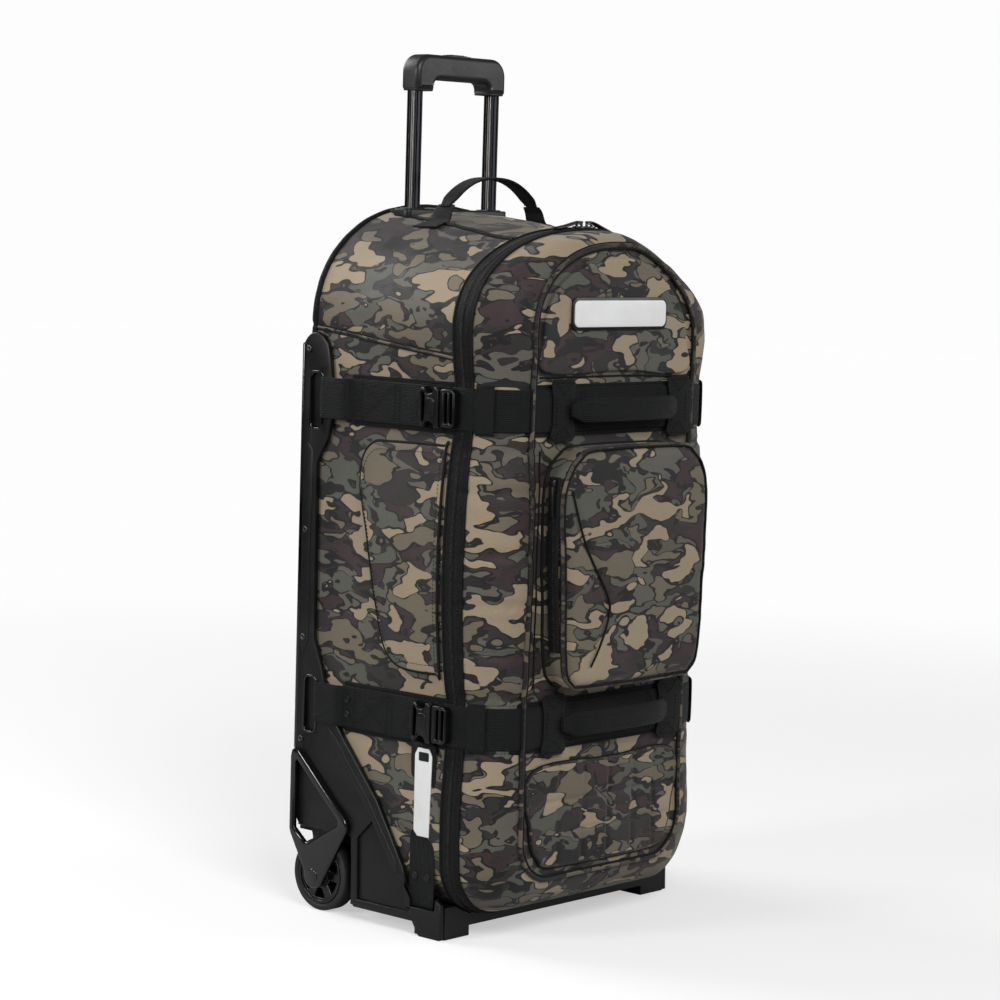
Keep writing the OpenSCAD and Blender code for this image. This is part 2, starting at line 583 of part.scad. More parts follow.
// A bowed webbing grip between the tabs. It swings about the line of its narrow ends.
haul_y = tab_y - 2 - 4.2;
haul_bow = 18;
haul_t = 5;
haul_end = tab_x - 8;
module haul_grip(z) difference() {
  path = [for (i = [-8:8]) let (u = i / 8)
    [u * haul_end, haul_y + haul_t / 2 - haul_bow * sqrt(1 - u * u)]];
  strip(path, -haul_t, z, 30);
  both_sides() for (s = [-1, 1]) translate([0, 0, z + s * 10.5])
    box(-haul_end - 10, -80, haul_y - haul_bow - 10, haul_y + 10, -7.5, 7.5);
}
module haul_grip_upper() color([0.04, 0.045, 0.05]) haul_grip(strap_hi);
module haul_grip_lower() color([0.04, 0.045, 0.05]) haul_grip(strap_lo);

// ---------- grab handle and zip sliders on top ----------

grab_y = y_back - 105;
grab_w = 24;
grab_x = 80;
grab_pivot = 848;
grab_rise = 37;
module grab_handle_tabs() color([0.04, 0.045, 0.05]) for (s = [-1, 1])
  box(s * grab_x - 1.5, s * grab_x + 1.5, grab_y - grab_w / 2, grab_y + grab_w / 2,
      grab_pivot - 12, grab_pivot - 4);

module grab_handle() color([0.04, 0.045, 0.05]) difference() {
  path = [for (i = [-8:8]) let (u = i / 8) [u * grab_x, grab_pivot + grab_rise * (1 - pow(abs(u), 2.4))]];
  rise = [for (i = [8:-1:-8]) path[i + 8] + 3 * strip_normal(path, i + 8)];
  translate([0, grab_y + grab_w / 2, 0]) rotate([90, 0, 0])
    linear_extrude(grab_w) polygon(concat(path, rise));
  both_sides() for (s = [-1, 1]) translate([0, grab_y + s * (grab_w / 2 - 4), grab_pivot])
    box(-grab_x - 5, -grab_x + 8, -5, 5, -5, 12);
}

slider_z = zip_top + slider_gap;
// A zip slider with the bridge that its pull hangs from; the left one, or mirrored to the right.
module slider() {
  box(-slider_l - 0.5, -0.5, zip_y - 6, zip_y + 6, slider_z, slider_z + 3);
  box(-slider_l + 2.5, -3.5, zip_y - 1.5, zip_y + 1.5, slider_z + 3, slider_z + 6);
}
module zip_slider_left() color([0.25, 0.25, 0.26]) on_side(-1) slider();
module zip_slider_right() color([0.25, 0.25, 0.26]) on_side(1) slider();

// A pull lies along the zip and swings up about its end over the slider.
pull_l = 52;
module pull() box(-pull_l - 4, -4, zip_y - 5, zip_y + 5, slider_z + 6.4, slider_z + 8.8);
module zip_pull_left() color([0.07, 0.07, 0.075]) on_side(-1) pull();
module zip_pull_right() color([0.07, 0.07, 0.075]) on_side(1) pull();

// ---------- nodes ----------

body_shell();
base_board();
foam_divider();
side_pockets();
grab_handle_tabs();
body_zip_tape();
base_tray();
side_plate_left();
side_plate_right();
back_deck();
wheel_wells();
wheel_bracket_left();
wheel_bracket_right();
axles();
plate_screws();
side_bands();
side_straps();
strap_rivets();
corner_straps();
id_tag();
buckle_sockets();
outer_tubes();
tube_mounts();
tube_tunnel();
handle_bezel();
handle_grip();
inner_tube_left();
inner_tube_right();
tube_end_plugs();
grip_screws();
lock_pin_left();
lock_pin_right();
release_button();
release_rods();
button_spring();
wheel_left();
tyre_left();
bearings_left();
wheel_right();
tyre_right();
bearings_right();
lid_shell();
lid_zip_tape();
upper_pocket();
middle_pocket();
lower_pocket();
pocket_zip();
badge();
front_bands();
front_straps();
haul_tabs();
buckle_plug_upper();
buckle_plug_lower();
haul_grip_upper();
haul_grip_lower();
grab_handle();
zip_slider_left();
zip_slider_right();
zip_pull_left();
zip_pull_right();
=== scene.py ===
"""A rolling gear duffel: printed soft shell and lid, black webbing, moulded deck, wheels and pull handle."""
import math

import bmesh
import bpy
from mathutils import Matrix, Vector, noise


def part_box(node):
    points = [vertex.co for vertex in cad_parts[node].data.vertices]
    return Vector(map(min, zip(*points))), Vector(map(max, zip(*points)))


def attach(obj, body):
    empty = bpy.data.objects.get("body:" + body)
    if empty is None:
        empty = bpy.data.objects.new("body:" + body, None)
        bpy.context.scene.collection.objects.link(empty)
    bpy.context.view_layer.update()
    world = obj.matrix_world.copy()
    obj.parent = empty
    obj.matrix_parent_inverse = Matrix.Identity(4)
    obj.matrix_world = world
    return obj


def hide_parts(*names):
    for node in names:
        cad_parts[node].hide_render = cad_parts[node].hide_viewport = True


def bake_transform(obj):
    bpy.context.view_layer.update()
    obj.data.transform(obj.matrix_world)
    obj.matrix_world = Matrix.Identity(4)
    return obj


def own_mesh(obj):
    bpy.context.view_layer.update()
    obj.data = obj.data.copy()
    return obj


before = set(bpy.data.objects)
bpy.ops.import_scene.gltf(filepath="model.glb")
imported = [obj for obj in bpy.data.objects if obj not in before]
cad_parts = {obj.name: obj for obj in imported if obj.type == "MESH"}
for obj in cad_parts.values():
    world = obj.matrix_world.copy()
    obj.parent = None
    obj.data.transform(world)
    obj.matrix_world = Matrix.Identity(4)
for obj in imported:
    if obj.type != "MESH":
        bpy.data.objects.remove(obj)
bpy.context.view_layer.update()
MM = 0.001

# ---------- driving sizes, all from the frame ----------

SHELL_LO, SHELL_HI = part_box("body_shell")
LID_LO, LID_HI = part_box("lid_shell")
HALF = SHELL_HI.x
BACK_Y = SHELL_HI.y
ZIP_Y = SHELL_LO.y
FRONT_Y = LID_LO.y
SHELL_BOTTOM = SHELL_LO.z
SHELL_TOP = SHELL_HI.z
LID_TOP = LID_HI.z
LID_BOTTOM = LID_LO.z
FRONT_HALF = 146 * MM
FRONT_TOP = 808 * MM
FRONT_BOTTOM = 78 * MM
STRAPS = [sum((c.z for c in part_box(n)), 0.0) / 2 for n in ("buckle_plug_lower", "buckle_plug_upper")]
WELL_X = 169 * MM
TUBE_Y = (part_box("inner_tube_right")[0].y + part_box("inner_tube_right")[1].y) / 2
GRIP_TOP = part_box("handle_grip")[1].z
STRAP_HEIGHTS = [s / MM for s in STRAPS]
SHARP = math.radians(38)              # edges above this angle stay crisp
TURN = 6.283                          # one full turn, for the weaves
LID_ROUND = 0.062                     # depth of the lid's rounded edge
# in mm: wheel centre in Y and Z, strap slots of the deck in Z, handle tubes in X
WHEEL_AT = (136, 44)
STRAP_SLOTS = (254, 620)
TUBES = (-68.6, 68.6)


def clamp(v, lo=0.0, hi=1.0):
    return max(lo, min(hi, v))


def smooth(lo, hi, v):
    """0 at lo and 1 at hi, eased; lo may be above hi."""
    k = clamp((v - lo) / (hi - lo))
    return k * k * (3 - 2 * k)


def mix(a, b, k):
    return a + (b - a) * k


def bell(d, width):
    return math.exp(-(d / width) ** 2)


# ---------- mesh helpers ----------


def linked(name, data):
    obj = bpy.data.objects.new(name, data)
    bpy.context.scene.collection.objects.link(obj)
    return obj


def curve_mesh(curve):
    """The mesh that a curve's bevel and caps make."""
    source = linked(curve.name + "_line", curve)
    bpy.context.view_layer.update()
    mesh = bpy.data.meshes.new_from_object(source.evaluated_get(bpy.context.evaluated_depsgraph_get()))
    bpy.data.objects.remove(source)
    return mesh


def make_object(name, bm, materials, smooth_faces=True, recalc=True):
    if recalc:
        bmesh.ops.recalc_face_normals(bm, faces=bm.faces)
    mesh = bpy.data.meshes.new(name)
    bm.to_mesh(mesh)
    bm.free()
    obj = linked(name, mesh)
    for material in materials if isinstance(materials, (list, tuple)) else [materials]:
        mesh.materials.append(material)
    for face in mesh.polygons:
        face.use_smooth = smooth_faces
    return obj


def surface(name, place, across, along, materials, flip=False, closed=False, merge=1e-5, recalc=False):
    """A grid of across by along cells, each vertex moved to place(u, v); closed fills the open ends."""
    bm = bmesh.new()
    bmesh.ops.create_grid(bm, x_segments=across, y_segments=along, size=0.5)
    for v in bm.verts:
        v.co = place(v.co.x + 0.5, v.co.y + 0.5)
    bmesh.ops.remove_doubles(bm, verts=bm.verts, dist=merge)
    if closed:
        bmesh.ops.holes_fill(bm, edges=[e for e in bm.edges if e.is_boundary])
    if flip:
        bmesh.ops.reverse_faces(bm, faces=bm.faces)
    return make_object(name, bm, materials, recalc=closed or recalc)


def add_modifier(obj, kind, **settings):
    modifier = obj.modifiers.new(kind.title(), kind)
    for key, value in settings.items():
        setattr(modifier, key, value)
    return modifier


def tube(name, points, radius, material, closed=False, sides=6):
    """A round cord along the points, as a mesh."""
    curve = bpy.data.curves.new(name, "CURVE")
    curve.dimensions = "3D"
    curve.bevel_depth = radius
    curve.bevel_resolution = max(1, sides // 2 - 1)
    curve.use_fill_caps = not closed
    spline = curve.splines.new("POLY")
    spline.points.add(len(points) - 1)
    for target, p in zip(spline.points, points):
        target.co = (p[0], p[1], p[2], 1)
    spline.use_cyclic_u = closed
    mesh = curve_mesh(curve)
    mesh.name = name
    obj = linked(name, mesh)
    mesh.materials.clear()
    mesh.materials.append(material)
    for face in mesh.polygons:
        face.use_smooth = True
    return obj


def block(bm, lo, hi, edge=0.0, segments=2):
    """Adds a box from lo to hi with rounded edges."""
    made = bmesh.ops.create_cube(bm, size=1.0)["verts"]
    size = [h - l for l, h in zip(lo, hi)]
    middle = [(h + l) / 2 for l, h in zip(lo, hi)]
    bmesh.ops.scale(bm, vec=size, verts=made)
    bmesh.ops.translate(bm, vec=middle, verts=made)
    if edge:
        edges = list({e for v in made for e in v.link_edges})
        bmesh.ops.bevel(bm, geom=edges, offset=edge, offset_type="OFFSET", affect="EDGES", segments=segments,
                        profile=0.5, material=-1, clamp_overlap=True)
    return made


def mirrored(name, obj):
    """The same piece on the other side of the bag."""
    mesh = obj.data.copy()
    mesh.transform(Matrix.Diagonal((-1, 1, 1, 1)))
    mesh.flip_normals()
    twin = linked(name, mesh)
    for modifier in obj.modifiers:
        copy = twin.modifiers.new(modifier.name, modifier.type)
        for key in ("thickness", "offset", "material_offset", "levels", "render_levels", "width", "segments"):
            if hasattr(modifier, key):
                setattr(copy, key, getattr(modifier, key))
    return twin


def piece(obj, body, slot, replaces=()):
    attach(obj, body)
    if replaces:
        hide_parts(*replaces)
    return obj


# ---------- material helpers ----------


def rgb(code):
    """Linear colour from a hex code."""
    parts = [int(code[i:i + 2], 16) / 255 for i in (0, 2, 4)]
    return [p / 12.92 if p <= 0.04045 else ((p + 0.055) / 1.055) ** 2.4 for p in parts] + [1.0]


class Nodes:
    """Short names for the nodes of one material or group."""

    def __init__(self, tree):
        self.tree = tree

    def add(self, kind, values=None, **settings):
        node = self.tree.nodes.new(kind)
        for key, value in settings.items():
            setattr(node, key, value)
        for key, value in (values or {}).items():
            if isinstance(value, bpy.types.NodeSocket):
                self.tree.links.new(value, node.inputs[key])
            else:
                node.inputs[key].default_value = value
        return node

    def math(self, operation, a, b=0.0, clamp_it=False):
        return self.add("ShaderNodeMath", {0: a, 1: b}, operation=operation, use_clamp=clamp_it).outputs[0]

    def band(self, value, lo, hi):
        """0 below lo and 1 above hi, smooth between."""
        node = self.add("ShaderNodeMapRange", {"Value": value, "From Min": lo, "From Max": hi},
                        interpolation_type="SMOOTHSTEP")
        return node.outputs["Result"]

    def blend(self, factor, a, b):
        node = self.add("ShaderNodeMix", data_type="RGBA")
        for index, value in ((0, factor), (6, a), (7, b)):
            if isinstance(value, bpy.types.NodeSocket):
                self.tree.links.new(value, node.inputs[index])
            else:
                node.inputs[index].default_value = value
        return node.outputs[2]

    def noise(self, vector, scale, detail=2.0, roughness=0.5, distortion=0.0):
        return self.add("ShaderNodeTexNoise", {"Vector": vector, "Scale": scale, "Detail": detail,
                                               "Roughness": roughness, "Distortion": distortion}).outputs["Fac"]

    def place(self, vector, scale=(1, 1, 1), shift=(0, 0, 0), turn=(0, 0, 0)):
        return self.add("ShaderNodeMapping", {"Vector": vector, "Scale": scale, "Location": shift,
                                              "Rotation": turn}).outputs[0]


def new_group(name, inputs, outputs):
    tree = bpy.data.node_groups.new(name, "ShaderNodeTree")
    for label, value in inputs:
        kind = "NodeSocketVector" if isinstance(value, tuple) else "NodeSocketFloat"
        tree.interface.new_socket(label, in_out="INPUT", socket_type=kind).default_value = value
    for label, kind in outputs:
        tree.interface.new_socket(label, in_out="OUTPUT", socket_type=kind)
    nodes = Nodes(tree)
    source = nodes.add("NodeGroupInput")
    target = nodes.add("NodeGroupOutput")
    return nodes, source.outputs, target.inputs


def new_material(name, **sockets):
    """A material with its Principled shader's plain sockets set."""
    material = bpy.data.materials.new(name)
    material.use_nodes = True
    nodes = Nodes(material.node_tree)
    shader = material.node_tree.nodes["Principled BSDF"]
    for key, value in sockets.items():
        shader.inputs[key.replace("_", " ")].default_value = value
    where = nodes.add("ShaderNodeTexCoord").outputs["Object"]
    return material, nodes, shader, where


def group_in(nodes, tree, values):
    return nodes.add("ShaderNodeGroup", values, node_tree=tree).outputs


def join(nodes, shader, color=None, roughness=None, height=None, depth=0.0005, strength=1.0):
    link = nodes.tree.links.new
    if color is not None:
        link(color, shader.inputs["Base Color"])
    if roughness is not None:
        link(roughness, shader.inputs["Roughness"])
    if height is not None:
        bump = nodes.add("ShaderNodeBump", {"Height": height, "Distance": depth, "Strength": strength})
        link(bump.outputs[0], shader.inputs["Normal"])


# ---------- shared effects ----------


def cloth_weave_group():
    """Plain weave of two thread directions: a height, and a light and dark mask."""
    nodes, source, target = new_group("cloth_weave", [("Vector", (0.0, 0.0, 0.0)), ("Threads", 700.0)],
                                      [("Height", "NodeSocketFloat"), ("Shade", "NodeSocketFloat")])
    parts = nodes.add("ShaderNodeSeparateXYZ", {0: source["Vector"]}).outputs
    flat = nodes.math("ADD", parts[0], parts[1])
    warp = nodes.math("SINE", nodes.math("MULTIPLY", flat, nodes.math("MULTIPLY", source["Threads"], TURN)))
    weft = nodes.math("SINE", nodes.math("MULTIPLY", parts[2], nodes.math("MULTIPLY", source["Threads"], TURN)))
    weave = nodes.math("MULTIPLY", warp, weft)
    rough = nodes.noise(source["Vector"], 900.0, 3.0, 0.6)
    height = nodes.math("ADD", nodes.math("MULTIPLY", weave, 0.3), nodes.math("MULTIPLY", rough, 0.9))
    links = nodes.tree.links.new
    links(height, target["Height"])
    links(nodes.band(nodes.math("ADD", nodes.math("MULTIPLY", weave, 0.15), rough), 0.2, 0.9), target["Shade"])
    return nodes.tree


def wear_group():
    """Rubbed and dusty patches of a used surface."""
    nodes, source, target = new_group("wear_patches", [("Vector", (0.0, 0.0, 0.0)), ("Scale", 9.0), ("Amount", 0.5)],
                                      [("Mask", "NodeSocketFloat"), ("Grain", "NodeSocketFloat")])
    broad = nodes.noise(source["Vector"], source["Scale"], 5.0, 0.62, 0.4)
    fine = nodes.noise(source["Vector"], 420.0, 2.0, 0.6)
    mask = nodes.math("MULTIPLY", nodes.band(broad, 0.42, 0.78), source["Amount"])
    nodes.tree.links.new(mask, target["Mask"])
    nodes.tree.links.new(fine, target["Grain"])
    return nodes.tree


WEAVE = cloth_weave_group()
WEAR = wear_group()


def camo_group():
    """Printed cloth: flat ragged shapes in tan, olive, slate, brown and charcoal, most with a dark outline."""
    nodes, source, target = new_group("ragged_print", [("Vector", (0.0, 0.0, 0.0)), ("Size", 1.0)],
                                      [("Color", "NodeSocketColor")])
    scaled = nodes.add("ShaderNodeVectorMath", {0: source["Vector"], "Scale": source["Size"]},
                       operation="SCALE").outputs[0]
    flat = nodes.place(scaled, scale=(1.25, 1.25, 2.7), turn=(0.22, -0.30, 0.0))
    swirl = nodes.add("ShaderNodeTexNoise", {"Vector": flat, "Scale": 13.0, "Detail": 1.8,
                                             "Roughness": 0.5}).outputs["Color"]
    centred = nodes.add("ShaderNodeVectorMath", {0: swirl, 1: (0.5, 0.5, 0.5)}, operation="SUBTRACT").outputs[0]
    push = nodes.add("ShaderNodeVectorMath", {0: centred, "Scale": 0.13}, operation="SCALE").outputs[0]
    warped = nodes.add("ShaderNodeVectorMath", {0: flat, 1: push}, operation="ADD").outputs[0]
    outline = rgb("100e0f")
    ground = nodes.noise(warped, 11.5, 0.9, 0.5)
    color = nodes.blend(nodes.band(ground, 0.497, 0.503), rgb("5f5c53"), rgb("38272b"))
    rim = nodes.math("MULTIPLY", nodes.band(ground, 0.472, 0.476),
                     nodes.math("SUBTRACT", 1.0, nodes.band(ground, 0.506, 0.510)))
    color = nodes.blend(rim, color, outline)
    # fill, scale of the shapes, threshold, outline width, where in the noise
    layers = [("55564d", 12.0, 0.560, 0.028, 7.7), ("2b2526", 13.0, 0.560, 0.0, 52.6),
              ("171415", 15.5, 0.610, 0.0, 41.2),
              ("6f6655", 12.5, 0.590, 0.028, 31.4), ("a08f77", 12.5, 0.592, 0.030, 21.9)]
    for code, scale, threshold, line, shift in layers:
        field = nodes.noise(nodes.place(warped, shift=(shift, shift * 0.7, -shift)), scale, 1.0, 0.5)
        if line:
            color = nodes.blend(nodes.band(field, threshold - line - 0.004, threshold - line), color, outline)
        color = nodes.blend(nodes.band(field, threshold - 0.003, threshold + 0.003), color, rgb(code))
    nodes.tree.links.new(color, target["Color"])
    return nodes.tree


CAMO = camo_group()


def camo_cloth(name, size=1.0, dark=0.0):
    material, nodes, shader, where = new_material(name, Sheen_Weight=0.12, Sheen_Roughness=0.5, Specular_IOR_Level=0.35)
    weave = group_in(nodes, WEAVE, {"Vector": where, "Threads": 620.0})
    wear = group_in(nodes, WEAR, {"Vector": where, "Scale": 7.0, "Amount": 0.25})
    print_color = group_in(nodes, CAMO, {"Vector": where, "Size": size})["Color"]
    shade = nodes.add("ShaderNodeHueSaturation", {"Color": print_color, "Saturation": 1.0,
                      "Value": nodes.add("ShaderNodeMapRange",
                                         {"Value": weave["Shade"], "To Min": 0.80, "To Max": 1.12}).outputs[0]})
    shaded = nodes.blend(dark, shade.outputs[0], rgb("0c0b0b"))
    dusty = nodes.blend(nodes.math("MULTIPLY", wear["Mask"], 0.35 * (1 - dark)), shaded, rgb("6b6860"))
    rough = nodes.add("ShaderNodeMapRange", {"Value": wear["Mask"], "To Min": 0.62, "To Max": 0.80}).outputs[0]
    join(nodes, shader, dusty, rough, weave["Height"], 0.0004, 0.5)
    return material


def webbing(name, axis, code="0b0e11"):
    """Ribbed black webbing whose ribs are counted along the given axis."""
    material, nodes, shader, where = new_material(name, Sheen_Weight=0.05, Sheen_Roughness=0.4, Specular_IOR_Level=0.22)
    parts = nodes.add("ShaderNodeSeparateXYZ", {0: where}).outputs
    across = {"x": parts[0], "y": parts[1], "z": parts[2]}[axis]
    others = [parts[i] for i, label in enumerate("xyz") if label != axis]
    along = nodes.math("ADD", others[0], others[1])
    ribs = nodes.math("SINE", nodes.math("MULTIPLY", across, TURN / 0.0021))
    picks = nodes.math("SINE", nodes.math("ADD", nodes.math("MULTIPLY", along, TURN / 0.0016),
                                          nodes.math("MULTIPLY", ribs, 1.2)))
    height = nodes.math("ADD", nodes.math("MULTIPLY", ribs, 0.6), nodes.math("MULTIPLY", picks, 0.4))
    wear = group_in(nodes, WEAR, {"Vector": where, "Scale": 14.0, "Amount": 0.6})
    fuzz = nodes.math("ADD", height, nodes.math("MULTIPLY", wear["Grain"], 1.6))
    color = nodes.blend(nodes.band(fuzz, -0.6, 2.2), rgb("040405"), rgb(code))
    color = nodes.blend(nodes.math("MULTIPLY", wear["Mask"], 0.5), color, rgb("17181a"))
    rough = nodes.add("ShaderNodeMapRange", {"Value": wear["Mask"], "To Min": 0.58, "To Max": 0.85}).outputs[0]
    join(nodes, shader, color, rough, fuzz, 0.0004, 0.8)
    return material


def moulded(name, code, light, roughness, bump=0.35, **sockets):
    """Moulded plastic or rubber with a fine skin grain and rubbed patches."""
    material, nodes, shader, where = new_material(name, **sockets)
    wear = group_in(nodes, WEAR, {"Vector": where, "Scale": 16.0, "Amount": 0.7})
    color = nodes.blend(nodes.math("MULTIPLY", wear["Mask"], 0.8), rgb(code), rgb(light))
    value = nodes.math("ADD", nodes.math("MULTIPLY", wear["Mask"], 0.16), roughness)
    value = nodes.math("ADD", value, nodes.math("MULTIPLY", nodes.math("SUBTRACT", wear["Grain"], 0.5), 0.16))
    join(nodes, shader, color, value, wear["Grain"], 0.00025, bump)
    return material


def brushed(name, code, roughness, axis_scale, metallic=1.0, painted_highlight_lines=()):
    material, nodes, shader, where = new_material(name, Metallic=metallic)
    streaks = nodes.noise(nodes.place(where, scale=axis_scale), 60.0, 3.0, 0.6)
    wear = group_in(nodes, WEAR, {"Vector": where, "Scale": 20.0, "Amount": 0.6})
    color = nodes.blend(nodes.band(streaks, 0.3, 0.75), rgb(code), [min(1.0, c * 1.5) for c in rgb(code)[:3]] + [1.0])
    depth = nodes.add("ShaderNodeSeparateXYZ", {0: where}).outputs["Y"]
    # painted highlights: thin near-white lines along the tube faces, at the given depths, stand in for reflections of
    # the lamps on the tube's grooves
    for middle, half in painted_highlight_lines:
        off = nodes.math("ABSOLUTE", nodes.math("SUBTRACT", depth, TUBE_Y + middle * MM))
        color = nodes.blend(nodes.band(off, (half + 0.15) * MM, half * MM), color, rgb("e2ddd6"))
    value = nodes.math("ADD", nodes.math("MULTIPLY", streaks, 0.2),
                       nodes.math("ADD", nodes.math("MULTIPLY", wear["Mask"], 0.15), roughness - 0.1))
    join(nodes, shader, color, value, streaks, 0.0001, 0.4)
    return material


CLOTH = camo_cloth("printed_cloth")
PIPING = camo_cloth("printed_piping", 1.5, dark=0.6)
WEB_Z = webbing("webbing_level", "z")
WEB_Y = webbing("webbing_upright", "y")
TAPE = webbing("zip_tape", "z", "0c0d0e")
LINING = moulded("dark_lining", "1c1d20", "26282b", 0.78, 0.5)
COIL = moulded("zip_coil", "101113", "1b1c1e", 0.42, 0.3)
THREAD = moulded("seam_thread", "0a0a0a", "161513", 0.7, 0.4, Specular_IOR_Level=0.25)
DECK = moulded("deck_plastic", "0a0a0b", "151517", 0.36, 0.3, Specular_IOR_Level=0.4)
GLOSS = moulded("gloss_plastic", "050506", "0c0c0e", 0.12, 0.05, Coat_Weight=0.5, Coat_Roughness=0.06)
BUCKLE = moulded("buckle_plastic", "060708", "121316", 0.30, 0.25, Specular_IOR_Level=0.45)
GRIP = moulded("grip_plastic", "17181a", "242629", 0.42, 0.5)
RUBBER = moulded("white_rubber", "eceded", "dcdcd8", 0.42, 0.2)
TYRE = moulded("wheel_tyre", "1b1c1c", "33332f", 0.66, 0.6)
WHEEL = moulded("wheel_plastic", "0b0b0c", "1c1c1d", 0.25, 0.2)
# the handle tubes get three painted highlight lines, each given as its middle and half width in mm
ALLOY = brushed("handle_tube_alloy", "26272a", 0.30, (1.0, 1.0, 0.02), painted_highlight_lines=((-4.6, 0.35), (-1.6, 0.6), (2.6, 0.4)))
STEEL = brushed("screw_steel", "57585b", 0.34, (1.0, 1.0, 1.0))

# ---------- the soft shape ----------

ARCH_POWER = 2.3
LOOP = [0.11, 0.19, 0.66, 1.0]       # where bottom, corner, side and arch end along half the outline


def arch_point(t, half, bottom, top, rise, corner):
    """A point of the arched outline in X and Z; t runs once round from the bottom's middle."""
    s = 1 - abs(2 * t - 1)
    side = 1 if t < 0.5 else -1
    spring = top - rise
    if s < LOOP[0]:
        x, z = (half - corner) * s / LOOP[0], bottom
    elif s < LOOP[1]:
        a = (s - LOOP[0]) / (LOOP[1] - LOOP[0]) * math.pi / 2
        x, z = half - corner + corner * math.sin(a), bottom + corner - corner * math.cos(a)
    elif s < LOOP[2]:
        x, z = half, mix(bottom + corner, spring, (s - LOOP[1]) / (LOOP[2] - LOOP[1]))
    else:
        a = (s - LOOP[2]) / (1 - LOOP[2]) * math.pi / 2
        x, z = half * max(0.0, math.cos(a)) ** (2 / ARCH_POWER), spring + rise * math.sin(a) ** (2 / ARCH_POWER)
    return side * x, z


def outline_with_normal(t, shape):
    x, z = arch_point(t, *shape)
    step = 0.002
    ax, az = arch_point((t - step) % 1.0, *shape)
    bx, bz = arch_point((t + step) % 1.0, *shape)
    d = Vector((bz - az, 0, -(bx - ax)))
    return x, z, d.normalized()


def behind_plate(y, z):
    """1 where the deck's diagonal covers the cloth, 0 in front of it."""
    edge = (z - 84 * MM) * 0.74
    return smooth(edge - 45 * MM, edge, y) * smooth(0.26, 0.22, z)


def side_bulge(y, z):
    """How far the filled sides stand out between the straps."""
    lo, hi = STRAPS
    pad = 34 * MM
    if z < lo:
        swell = 5 * MM * math.sin(math.pi * clamp((z - 0.05) / (lo - pad - 0.05)))
    elif z < hi:
        swell = 13 * MM * math.sin(math.pi * clamp((z - lo - pad) / (hi - lo - 2 * pad))) ** 0.7
    else:
        swell = 8 * MM * math.sin(math.pi * clamp((z - hi - pad) / 0.17)) ** 0.8
    return swell * (1 - smooth(0.0, 0.125, y)) * (1 - behind_plate(y, z))


def crumple(p, strength=1.0):
    """Soft folds and dents of filled cloth."""
    q = Vector((p[0], p[1], p[2] * 1.5))
    broad = noise.noise(q * 9.0) * 2.2
    folds = abs(noise.noise(q * 21.0 + Vector((5, 1, 2)))) * -1.6
    fine = noise.noise(q * 52.0) * 0.45
    return (broad + folds + fine) * MM * strength


def tuck(x, share=1.0):
    """The lid's hinge side is drawn in a little toward the front."""
    return x - 20 * MM * share * smooth(0.05, 0.15, x)


def lean(p, share=1.0):
    """The arch sags on the hinge side, less and less toward the back."""
    sag = smooth(0.012, 0.092, p.x) * smooth(0.205, 0.155, p.x) * smooth(0.62, 0.79, p.z) * smooth(0.07, -0.05, p.y)
    return p + Vector((0, 0, -17 * MM * share * sag))


def shell_shape(y):
    k = clamp((y - ZIP_Y) / (BACK_Y - ZIP_Y))
    drop = SHELL_TOP - LID_TOP
    return HALF, SHELL_BOTTOM, LID_TOP + drop * k, mix(126, 150, k) * MM, 60 * MM


def seam_dip(p):
    """Seam along the side of the shell, from the top of the side plate to the zip."""
    line = 0.705 - (0.167 - p[1]) * 0.11
    return -2.2 * MM * bell(p[2] - line, 3.5 * MM) * smooth(0.0, 0.03, p[1] - ZIP_Y)


def held_flat(z):
    """1 under a strap, less above and below it."""
    return clamp(bell(z - STRAPS[0], 34 * MM) + bell(z - STRAPS[1], 34 * MM))


def shell_at(t, y, lift=0.0, soft=1.0):
    x, z, normal = outline_with_normal(t, shell_shape(y))
    base = Vector((x, y, z))
    sideways = clamp(abs(normal.x) * 1.2 - 0.2)
    out = side_bulge(y, z) * sideways + seam_dip(base) * sideways
    near_floor = smooth(0.035, 0.12, z)
    tucked = (smooth(0.16, 0.12, y) if z < 0.70 else 1.0) * (1 - behind_plate(y, z))
    out += crumple(base, soft * near_floor * tucked) * (1 - 0.85 * held_flat(z)) * smooth(0.0, 0.045, y - ZIP_Y)
    p = base + normal * (out + lift)
    well = smooth(0.074, 0.084, y) * smooth(0.106, 0.099, z)
    if abs(p.x) > WELL_X:
        p.x = math.copysign(mix(abs(p.x), WELL_X, well), p.x)
    return lean(p)


def lid_shape(a):
    k = 1 - math.cos(a)
    return (mix(HALF, FRONT_HALF, k), mix(LID_BOTTOM, FRONT_BOTTOM, k), mix(LID_TOP, FRONT_TOP, k),
            mix(126, 100, k) * MM, mix(60, 50, k) * MM)


QUILT = [0.575, 0.527, 0.455, 0.398, 0.340, 0.292]


def lid_at(t, a, lift=0.0, soft=1.0):
    """A point of the lid's rounded edge: a is 0 at the zip and a quarter turn at the flat front."""
    x, z, normal = outline_with_normal(t, lid_shape(a))
    y = ZIP_Y - 0.3 * MM + (FRONT_Y - ZIP_Y) * math.sin(a)
    base = Vector((x, y, z))
    outward = (normal * math.cos(a) + Vector((0, -1, 0)) * math.sin(a)).normalized()
    sideways = clamp(abs(normal.x) * 1.2 - 0.2)
    out = side_bulge(ZIP_Y, z) * sideways * math.cos(a) ** 0.6
    seams = sum(bell(z - q, 3.2 * MM) for q in QUILT) * sideways
    out += 2.5 * MM * math.sin(2 * a) * (1 - clamp(seams)) - 1.8 * MM * clamp(seams) * min(1.0, 4 * math.sin(a))
    out += crumple(base + Vector((3, 0, 0)), soft * smooth(0.03, 0.1, z)) * (1 - 0.85 * held_flat(z)) * smooth(0.0,
            0.55, a)
    p = base + outward * (out + lift)
    p.x = tuck(p.x, math.sin(a) ** 0.8)
    return lean(p)


